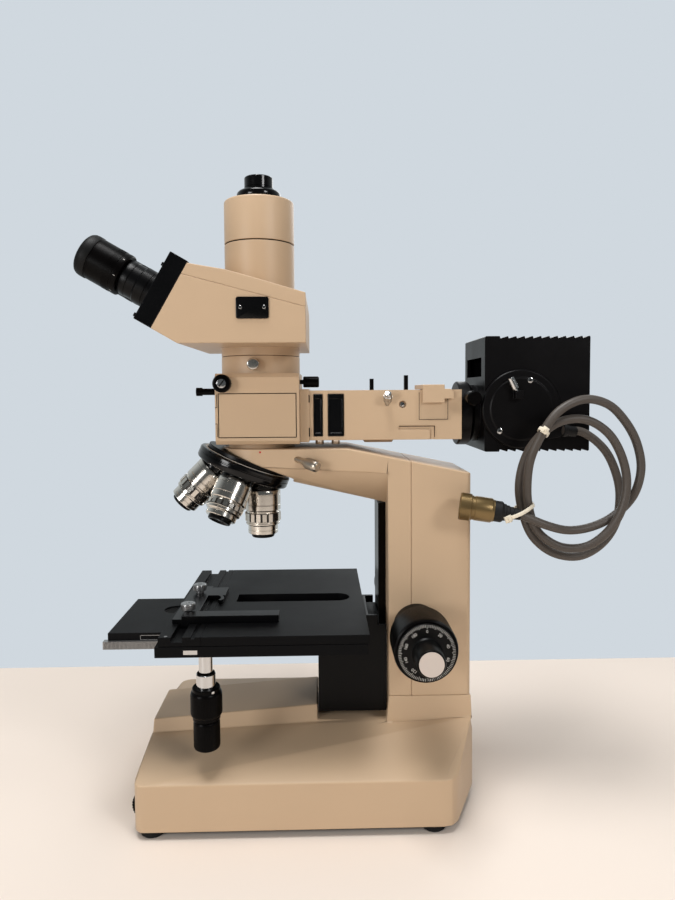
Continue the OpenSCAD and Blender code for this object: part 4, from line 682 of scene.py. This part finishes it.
# Clamp lever
# A knurled steel knob on a thin rod. It is screwed into the near side of the arm and locks the slide
# of the nosepiece.
clamp_place = moved(optic_x + 0.022, -0.0255, 0.269) @ swung(-41.3, "Z") @ swung(102.7, "Y")
clamp_steel = finish("clamp_steel", colour(196, 186, 172), 0.3, metallic=1.0, mottle=0.08, mottle_scale=90,
                     grain=0.06)
set_turned("nosepiece_clamp_rod", [
    (0, -8), (2, -8), (2, 17.2), (2.6, 17.4), (3.3, 18.6), (3.3, 20.6), (4.0, 21.0), (4.35, 21.6), (4.35, 31.4),
    (3.9, 32.2), (3.2, 32.9), (1.0, 32.9), (0.8, 32.5), (0, 32.5)],
    "nosepiece_clamp", "nickel", clamp_steel, clamp_place, steps=48, stands_for=["nosepiece_clamp"])
knurl("nosepiece_clamp_knurl", 30, 4.4, 21.8, 31.2, clamp_steel, "nosepiece_clamp", "nickel", clamp_place)

# Upright illuminator
# A painted box that stands on the arm and carries the head in its collar. The flat side cover is let
# into the near face and held from behind.
softened("illuminator_box", "illuminator_box_shell", 0.5, beige_paint, "stand", "beige_paint")
softened("box_cover", "box_cover_shell", 0.35, beige_paint, "stand", "beige_paint")
# A near black, matt finish used as painted shade in seams, slots, grooves and notches.
painted_gap_shade = finish("painted_gap_shade", colour(9, 8, 7), 0.8, grain=0.1, shine=0.15)
# A thin dark ring under the collar is painted shade where the head sits on it.
set_turned("head_seat_shadow_ring", [
    (31.0, 346.9), (31.0, 347.8), (22, 347.8), (22, 346.9)],
    "stand", "black_paint", painted_gap_shade, moved(optic_x, 0, 0))


def fine_lines(name, face, wide, *runs, body="stand", slot="black_paint", material=None):
    """Straight fine lines on a face that looks to the near side; runs of X and Z in millimetres. Unless another
    material is given, they are painted shade.
    """
    shape = bmesh.new()
    for run in runs:
        for a, b in zip(run, run[1:]):
            span = Vector((b[0] - a[0], 0, b[1] - a[1])) / 1000
            place = moved((a[0] + b[0]) / 2000, face / 1000, (a[1] + b[1]) / 2000)
            place = place @ Matrix.Rotation(-math.atan2(span.z, span.x), 4, "Y")
            sides = (span.length + wide / 1000, 0.00014, wide / 1000, 1)
            bmesh.ops.create_cube(shape, size=1, matrix=place @ Matrix.Diagonal(sides))
    return set_piece(name, as_mesh(name, shape), body, slot, material or painted_gap_shade)


# The joint round the side cover and the two clip notches beside it are lines of painted shade.
fine_lines("box_cover_joint_shade", -38.0, 0.5,
           ((-90.2, 317.8), (-30.9, 317.8), (-30.9, 284.2), (-90.2, 284.2), (-90.2, 317.8)))
fine_lines("box_cover_clip_shade", -38.0, 0.45, ((-92.6, 307.2), (-91.4, 307.2), (-91.4, 317.0)),
           ((-92.6, 294.8), (-91.4, 294.8), (-91.4, 285.0)))
lens_glass = finish("lens_glass", colour(150, 176, 186), 0.05, coat=1.0, grain=0.0, rough_spread=0.02)
for node in ("illuminator_optics", "prism_block", "lamp_bulb"):
    paint(node, lens_glass)

# Rod and knobs of the upright illuminator
# A black anodised pull rod and two black knobs, one with a slotted chrome centre. The head is
# clamped by a chromed screw in the collar.
paint("aperture_rod", black_plastic)
box_low, box_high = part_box("analyser_knob")
knob_face = moved((box_low.x + box_high.x) / 2, 0, (box_low.z + box_high.z) / 2) @ swung(90, "X")
set_turned("analyser_knob_turned", [
    (0, 33), (2, 33), (2, 38.3), (6.2, 38.3), (6.8, 38.9), (6.8, 45.0), (6.3, 45.8), (5.6, 46), (3.9, 46),
    (3.75, 45.6), (3.75, 44.8), (0, 44.8)],
    "analyser_knob", "black_plastic", black_plastic, knob_face, steps=72, stands_for=["analyser_knob"])
knurl("analyser_knob_knurl", 60, 6.8, 39.2, 44.8, black_plastic, "analyser_knob", "black_plastic", knob_face,
      deep=0.4)


def slotted(name, radius, top, deep, body, place, cross=False):
    """A screw head with a screwdriver slot, its top at a height in millimetres along its own axis. The slot is a thin
    bar of painted shade laid on the top.
    """
    set_turned(name, [
        (radius * 0.98, top - deep), (radius, top - deep * 0.5), (radius * 0.94, top - 0.12),
        (radius * 0.8, top), (0, top)], body, "chrome", chrome, place, steps=40)
    bars = bmesh.new()
    for turn in ((0.7, 0.7 + math.pi / 2) if cross else (0.9,)):
        sides = (radius * (1.1 if cross else 1.7) / 1000, radius * 0.26 / 1000, 0.12 / 1000, 1)
        bmesh.ops.create_cube(bars, size=1, matrix=moved(0, 0, top / 1000) @ Matrix.Rotation(turn, 4, "Z")
                              @ Matrix.Diagonal(sides))
    set_piece(name + "_slot", as_mesh(name + "_slot", bars), body, "black_paint", painted_gap_shade, place=place)


slotted("analyser_knob_centre", 3.6, 45.5, 1.0, "analyser_knob", knob_face)
box_low, box_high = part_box("rear_pull_knob")
pull_place = moved(box_high.x, (box_low.y + box_high.y) / 2, (box_low.z + box_high.z) / 2) @ swung(90, "Y")
set_turned("rear_pull_turned", [
    (0, -20), (1.8, -20), (1.8, -12.6), (3.8, -12.5), (4.2, -12.1), (4.2, -0.7), (3.7, -0.1), (0, 0)],
    "rear_pull_knob", "black_plastic", black_plastic, pull_place, steps=48, stands_for=["rear_pull_knob"])
knurl("rear_pull_knurl", 36, 4.2, -11.8, -1.0, black_plastic, "rear_pull_knob", "black_plastic", pull_place, deep=0.4)
box_low, box_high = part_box("head_clamp_screw")
clamp_face = moved((box_low.x + box_high.x) / 2, 0, (box_low.z + box_high.z) / 2) @ swung(90, "X")
set_turned("head_clamp_turned", [
    (0, 26), (1.5, 26), (1.5, 31.9), (4.1, 31.9), (4.6, 32.5), (4.6, 36.8), (4.2, 37.4), (3.4, 37.6),
    (0, 37.55)], "head_clamp_screw", "chrome", nickel, clamp_face, steps=56, stands_for=["head_clamp_screw"])
knurl("head_clamp_knurl", 48, 4.6, 32.7, 36.7, nickel, "head_clamp_screw", "chrome", clamp_face, deep=0.4)

# Light tube
# A painted box section between the upright illuminator and the lamp, with two black sliders, two
# levers for the diaphragms, a centring screw and a filter under its own small hood.
softened("light_bar", "light_bar_shell", 0.4, beige_paint, "stand", "beige_paint")
for node in ("field_lever", "aperture_lever"):
    paint(node, black_paint)
softened("analyser_slider", "analyser_slider_shell", 0.35, gloss_black, "analyser_slider", "black_paint")
softened("polariser_slider", "polariser_slider_shell", 0.35, gloss_black, "polariser_slider", "black_paint")
softened("filter_cap", "filter_cap_shell", 0.4, beige_paint, "filter_cap", "beige_paint")
bar_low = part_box("light_bar")[0]
centring_place = moved(optic_x + 0.1007, -0.028, 0.3095) @ swung(50, "X")
set_turned("bar_centring_turned", [
    (0, -5), (1.5, -5), (1.5, 2.8), (2.7, 2.8), (3.2, 3.4), (3.2, 9.4), (2.8, 10.0), (2.8, 11.4), (2.4, 12.2),
    (0, 12.5)],
    "bar_centring_screw", "chrome", chrome, centring_place, steps=48, stands_for=["bar_centring_screw"])
knurl("bar_centring_knurl", 34, 3.2, 3.6, 9.2, chrome, "bar_centring_screw", "chrome", centring_place, deep=0.35)
sunk_face = moved(optic_x + 0.1129, 0, 0.3085) @ swung(90, "X")
slotted("bar_sunk_screw", 2.1, 25.6, 1.2, "stand", sunk_face)
for name, x in (("near_box", 0.0475), ("near_lamp", 0.0604)):
    under = moved(optic_x + x, -0.018, bar_low.z) @ swung(180, "X")
    set_turned("click_stop_" + name, [
        (0, -4), (3.4, -4), (3.4, 0.2), (3.1, 0.7), (1.6, 0.8), (1.3, 0.4), (0, 0.4)],
        "stand", "nickel", nickel, under, steps=40)

# These runs of fine lines are painted shade: along the joint of the filter panel, under the step of the bar and in
# the slots of the flange.
fine_lines("filter_panel_joint_shade", -30.0, 0.45, ((64.9, 317.6), (64.9, 296.7), (87.4, 296.7), (87.4, 313.0)))
fine_lines("bar_step_shadow", -30.0, 0.5, ((49.2, 291.4), (77.0, 291.4), (77.0, 283.2)))
fine_lines("bar_flange_slot_shade", -30.0, 0.9, ((-21.0, 316.0), (-21.0, 311.0)), ((-21.0, 290.4), (-21.0, 284.4)))

# Lamphouse
# A black finned casting on a round mount. The socket of the lamp closes a round opening in its near
# side, held by two screws, and a chromed screw centres it.
lamp_black = finish("lamp_black", colour(7, 6, 7), 0.34, mottle=0.25, mottle_scale=40, grain=0.16, grain_scale=2200,
                    shine=0.12)
softened("lamphouse", "lamphouse_shell", 0.3, lamp_black, "stand", "black_paint")
softened("socket_cover", "socket_cover_shell", 0.4, lamp_black, "stand", "black_paint")
paint("lamp_clamp_knob", black_plastic)
socket_x, socket_z = optic_x + 0.2035, 0.3045
for i, (x, z, face) in enumerate(((0.0065, 0.0222, 39.6), (-0.0169, -0.0169, 39.6))):
    slotted("socket_screw_%d" % (i + 1), 2.3, face, 1.4, "stand",
            moved(socket_x + x, 0, socket_z + z) @ swung(90, "X"), cross=True)
lamp_screw_place = moved(optic_x + 0.200, -0.0426, 0.3155) @ swung(-26, "Y")
set_turned("lamp_centring_turned", [
    (0, -2), (1.2, -2), (1.2, 5), (2.5, 5), (2.75, 5.3), (2.75, 14.0), (2.4, 14.5), (0, 14.5)],
    "lamp_centring_screw", "chrome", chrome, lamp_screw_place, steps=48, stands_for=["lamp_centring_screw"])

# Marks and small screws of the stage
# A bright reading window and a framed slot on the near edges, two small screws in the guide strip,
# the floor of the half round notch in painted shade, and a thin plate screwed on the bracket.
for i, (x, y) in enumerate(((-121.5, -4.0), (-122.5, -87.6))):
    set_turned("strip_screw_%d" % (i + 1), [
        (1.1, 147.3), (1.1, 147.6), (0.8, 147.75), (0, 147.75)],
        "cross_stage", "chrome", steel, moved(x / 1000, y / 1000, 0), steps=24)
fine_lines("reading_window", -90.0, 3.0, ((-108.4, 136.6), (-101.6, 136.6)), body="fine_block", slot="chrome",
           material=chrome)
fine_lines("shelf_slot_frame", -76.4, 0.35,
           ((-143.2, 141.5), (-128.4, 141.5), (-128.4, 144.6), (-143.2, 144.6), (-143.2, 141.5)),
           body="cross_stage", slot="chrome", material=steel)
notch = bmesh.new()
middle_x, middle_y, floor_z, radius = -0.1286, -0.024, 0.14518, 0.0088
half_turn = [a * math.pi / 24 for a in range(12, 37)]
notch.faces.new([notch.verts.new((middle_x + radius * math.cos(a), middle_y + radius * math.sin(a), floor_z))
                 for a in half_turn])
set_piece("shelf_notch_shade", as_mesh("shelf_notch_shade", notch), "cross_stage", "black_paint", painted_gap_shade)


def soft_block(name, place, sides, edge):
    """A block with sides of these lengths and softened edges, all in metres."""
    shape = bmesh.new()
    bmesh.ops.create_cube(shape, size=1, matrix=place @ Matrix.Diagonal((*sides, 1)))
    bmesh.ops.bevel(shape, geom=shape.edges[:], offset=edge, segments=2, affect="EDGES", profile=0.5)
    return as_mesh(name, shape)


thin_plate = soft_block("bracket_plate", moved(0.0285, -0.0095, 0.1404), (0.008, 0.030, 0.0009), 0.0002)
set_piece("bracket_plate", thin_plate, "fine_block", "black_paint", stage_black)

# Head
# A wide painted body with a cover over it, split along a fine seam that falls to the rear. A small
# black plate is screwed to its near side.
softened("head_body", "head_body_shell", 0.6, beige_paint, "head", "beige_paint")
softened("head_cover", "head_cover_shell", 0.6, beige_paint, "head", "beige_paint")


def slab(name, low, high, corner, edge):
    """A flat plate in metres, with rounded corners in the XZ plane and softened edges."""
    shape = bmesh.new()
    bmesh.ops.create_cube(shape, size=1)
    for v in shape.verts:
        v.co = Vector([lo + (v.co[i] + 0.5) * (hi - lo) for i, (lo, hi) in enumerate(zip(low, high))])
    along = [e for e in shape.edges if abs(e.verts[0].co.y - e.verts[1].co.y) > 1e-6]
    bmesh.ops.bevel(shape, geom=along, offset=corner, segments=6, affect="EDGES", profile=0.5)
    rim = [e for e in shape.edges if len(e.link_faces) == 2 and e.calc_face_angle() > 1.2]
    bmesh.ops.bevel(shape, geom=rim, offset=edge, segments=2, affect="EDGES", profile=0.5)
    return as_mesh(name, shape)


side_plate = slab("head_side_plate", (optic_x - 0.0112, -0.0711, 0.3713), (optic_x + 0.0122, -0.0699, 0.3868),
                  0.0016, 0.0002)
set_piece("head_side_plate", side_plate, "head", "black_paint", gloss_black)
for i, x in enumerate((-0.0080, 0.0090)):
    slotted("head_plate_screw_%d" % (i + 1), 1.35, 71.7, 0.8, "head",
            moved(optic_x + x, 0, 0.3794) @ swung(90, "X"), cross=True)

# Front plate and eyepiece tubes
# A thick black enamelled plate closes the head in front. Two slides run across it between lips and
# carry the turned tubes of the eyepieces.
eye_place = moved(optic_x - 0.0725, 0, 0.3923) @ swung(-60, "Y")
eye_half = 0.032
softened("head_front_plate", "head_front_plate_shell", 0.6, gloss_black, "head", "black_paint")
for side, y, body in (("left", eye_half, "eye_left"), ("right", -eye_half, "eye_right")):
    shift = eye_place @ moved(0, y, 0)
    slide = soft_block("eye_slide", moved(0, 0, 0.0018), (0.038, 0.044, 0.003), 0.0006)
    set_piece("eye_slide_" + side, slide, body, "black_paint", black_paint, place=shift)
    set_turned("eye_tube_%s_turned" % side, [
        (12.1, 0.4), (14.2, 3.2), (14.7, 3.4), (14.7, 8.8), (14.4, 9.2), (14.4, 9.9), (14.7, 10.3),
        (14.7, 17.2), (13.9, 18.0), (13.6, 18.4), (13.6, 24.6), (13.9, 25.0), (13.9, 30.0), (13.4, 30.8),
        (12.1, 30.9)], body, "black_paint", black_paint, shift, stands_for=["eye_tube_" + side])

# Eyepieces
# Two wide-field eyepieces with black turned barrels, a fine grip ring and a rolled rubber rim. The
# left one turns to match the eyes.
cup_rubber = finish("cup_rubber", colour(8, 8, 8), 0.5, mottle=0.15, mottle_scale=70, grain=0.2, grain_scale=2600,
                    shine=0.16)
eye_lens = finish("eye_lens", colour(34, 42, 58), 0.04, coat=1.0, mottle=0.2, mottle_scale=120, grain=0.0,
                  rough_spread=0.02)
for side, y, body in (("left", eye_half, "eyepiece_left"), ("right", -eye_half, "eye_right")):
    shift = eye_place @ moved(0, y, 0)
    node = "eyepiece_" + side
    set_turned(node + "_barrel", [
        (11.9, 24), (11.9, 31.0), (15.4, 31.0), (16.2, 31.5), (16.4, 32.2), (16.4, 35.0), (16.1, 35.4),
        (16.1, 36.2), (16.4, 36.6), (16.4, 55.4), (16.1, 55.8), (16.1, 56.6), (16.6, 57.0)],
        body, "black_plastic", black_plastic, shift, steps=112, stands_for=[node])
    set_turned(node + "_rim", [
        (16.0, 56.6), (16.6, 57.0), (16.85, 57.8), (16.85, 61.4), (16.5, 63.6), (15.6, 65.2), (14.2, 66.2),
        (12.8, 66.5), (11.4, 66.0), (10.4, 64.8), (10.0, 63.0), (10.0, 60.4)],
        body, "black_plastic", cup_rubber, shift, steps=112)
    set_turned(node + "_lens", [
        (10.05, 60.2), (9.6, 60.4), (7, 61.2), (4, 61.8), (0, 62.1)], body, "glass", eye_lens, shift, steps=64)
    knurl(node + "_grip", 90, 16.4, 37.2, 42.4, black_plastic, body, "black_plastic", shift, deep=0.4)
    marks = grown(bars_round, node + "_marks", Count=7, Radius=0.01643, Outwards=0.0001, Round=0.0004, Along=0.0016,
                  Finish=dial_white)
    marks.transform(moved(0, 0, 0.0338))
    set_piece(node + "_marks", marks, body, "white_plastic", place=shift)

# Photo tube and port
# A painted tube in two lengths, joined along a fine groove, with a black flanged port on top that
# takes a camera adapter.
tube_place = moved(optic_x, 0, 0)
# A thin dark ring in the groove between the two lengths is painted shade.
set_turned("photo_tube_groove_shade", [
    (26.8, 436.3), (27.45, 436.3), (27.45, 437.3), (26.8, 437.3)],
    "head", "black_paint", painted_gap_shade, tube_place, steps=128, closed=True)
set_turned("photo_tube_turned", [
    (24, 380), (28, 380), (28, 436.0), (27.7, 436.3), (27.3, 436.4), (27.3, 437.2), (27.7, 437.3), (28, 437.6),
    (28, 469.4), (27.8, 470.2), (27.2, 470.8), (26.4, 470.9), (9.5, 470.9)],
    "head", "beige_paint", beige_paint, tube_place, steps=128, stands_for=["photo_tube"])
set_turned("photo_port_turned", [
    (9.5, 470.9), (15.8, 471.0), (16.6, 472.2), (17.4, 473.8), (17.65, 474.6), (17.65, 477.4), (17.3, 478.2),
    (16.2, 479.3), (15.2, 479.8), (12.4, 480.0), (11.6, 480.5), (11.5, 481.0), (11.5, 481.8), (11.2, 482.0),
    (11.2, 482.6), (11.5, 482.8), (11.5, 490.2), (11.0, 490.8), (10.2, 490.9), (9.5, 490.3)],
    "head", "black_paint", gloss_black, tube_place, steps=112, closed=True, stands_for=["photo_port"])
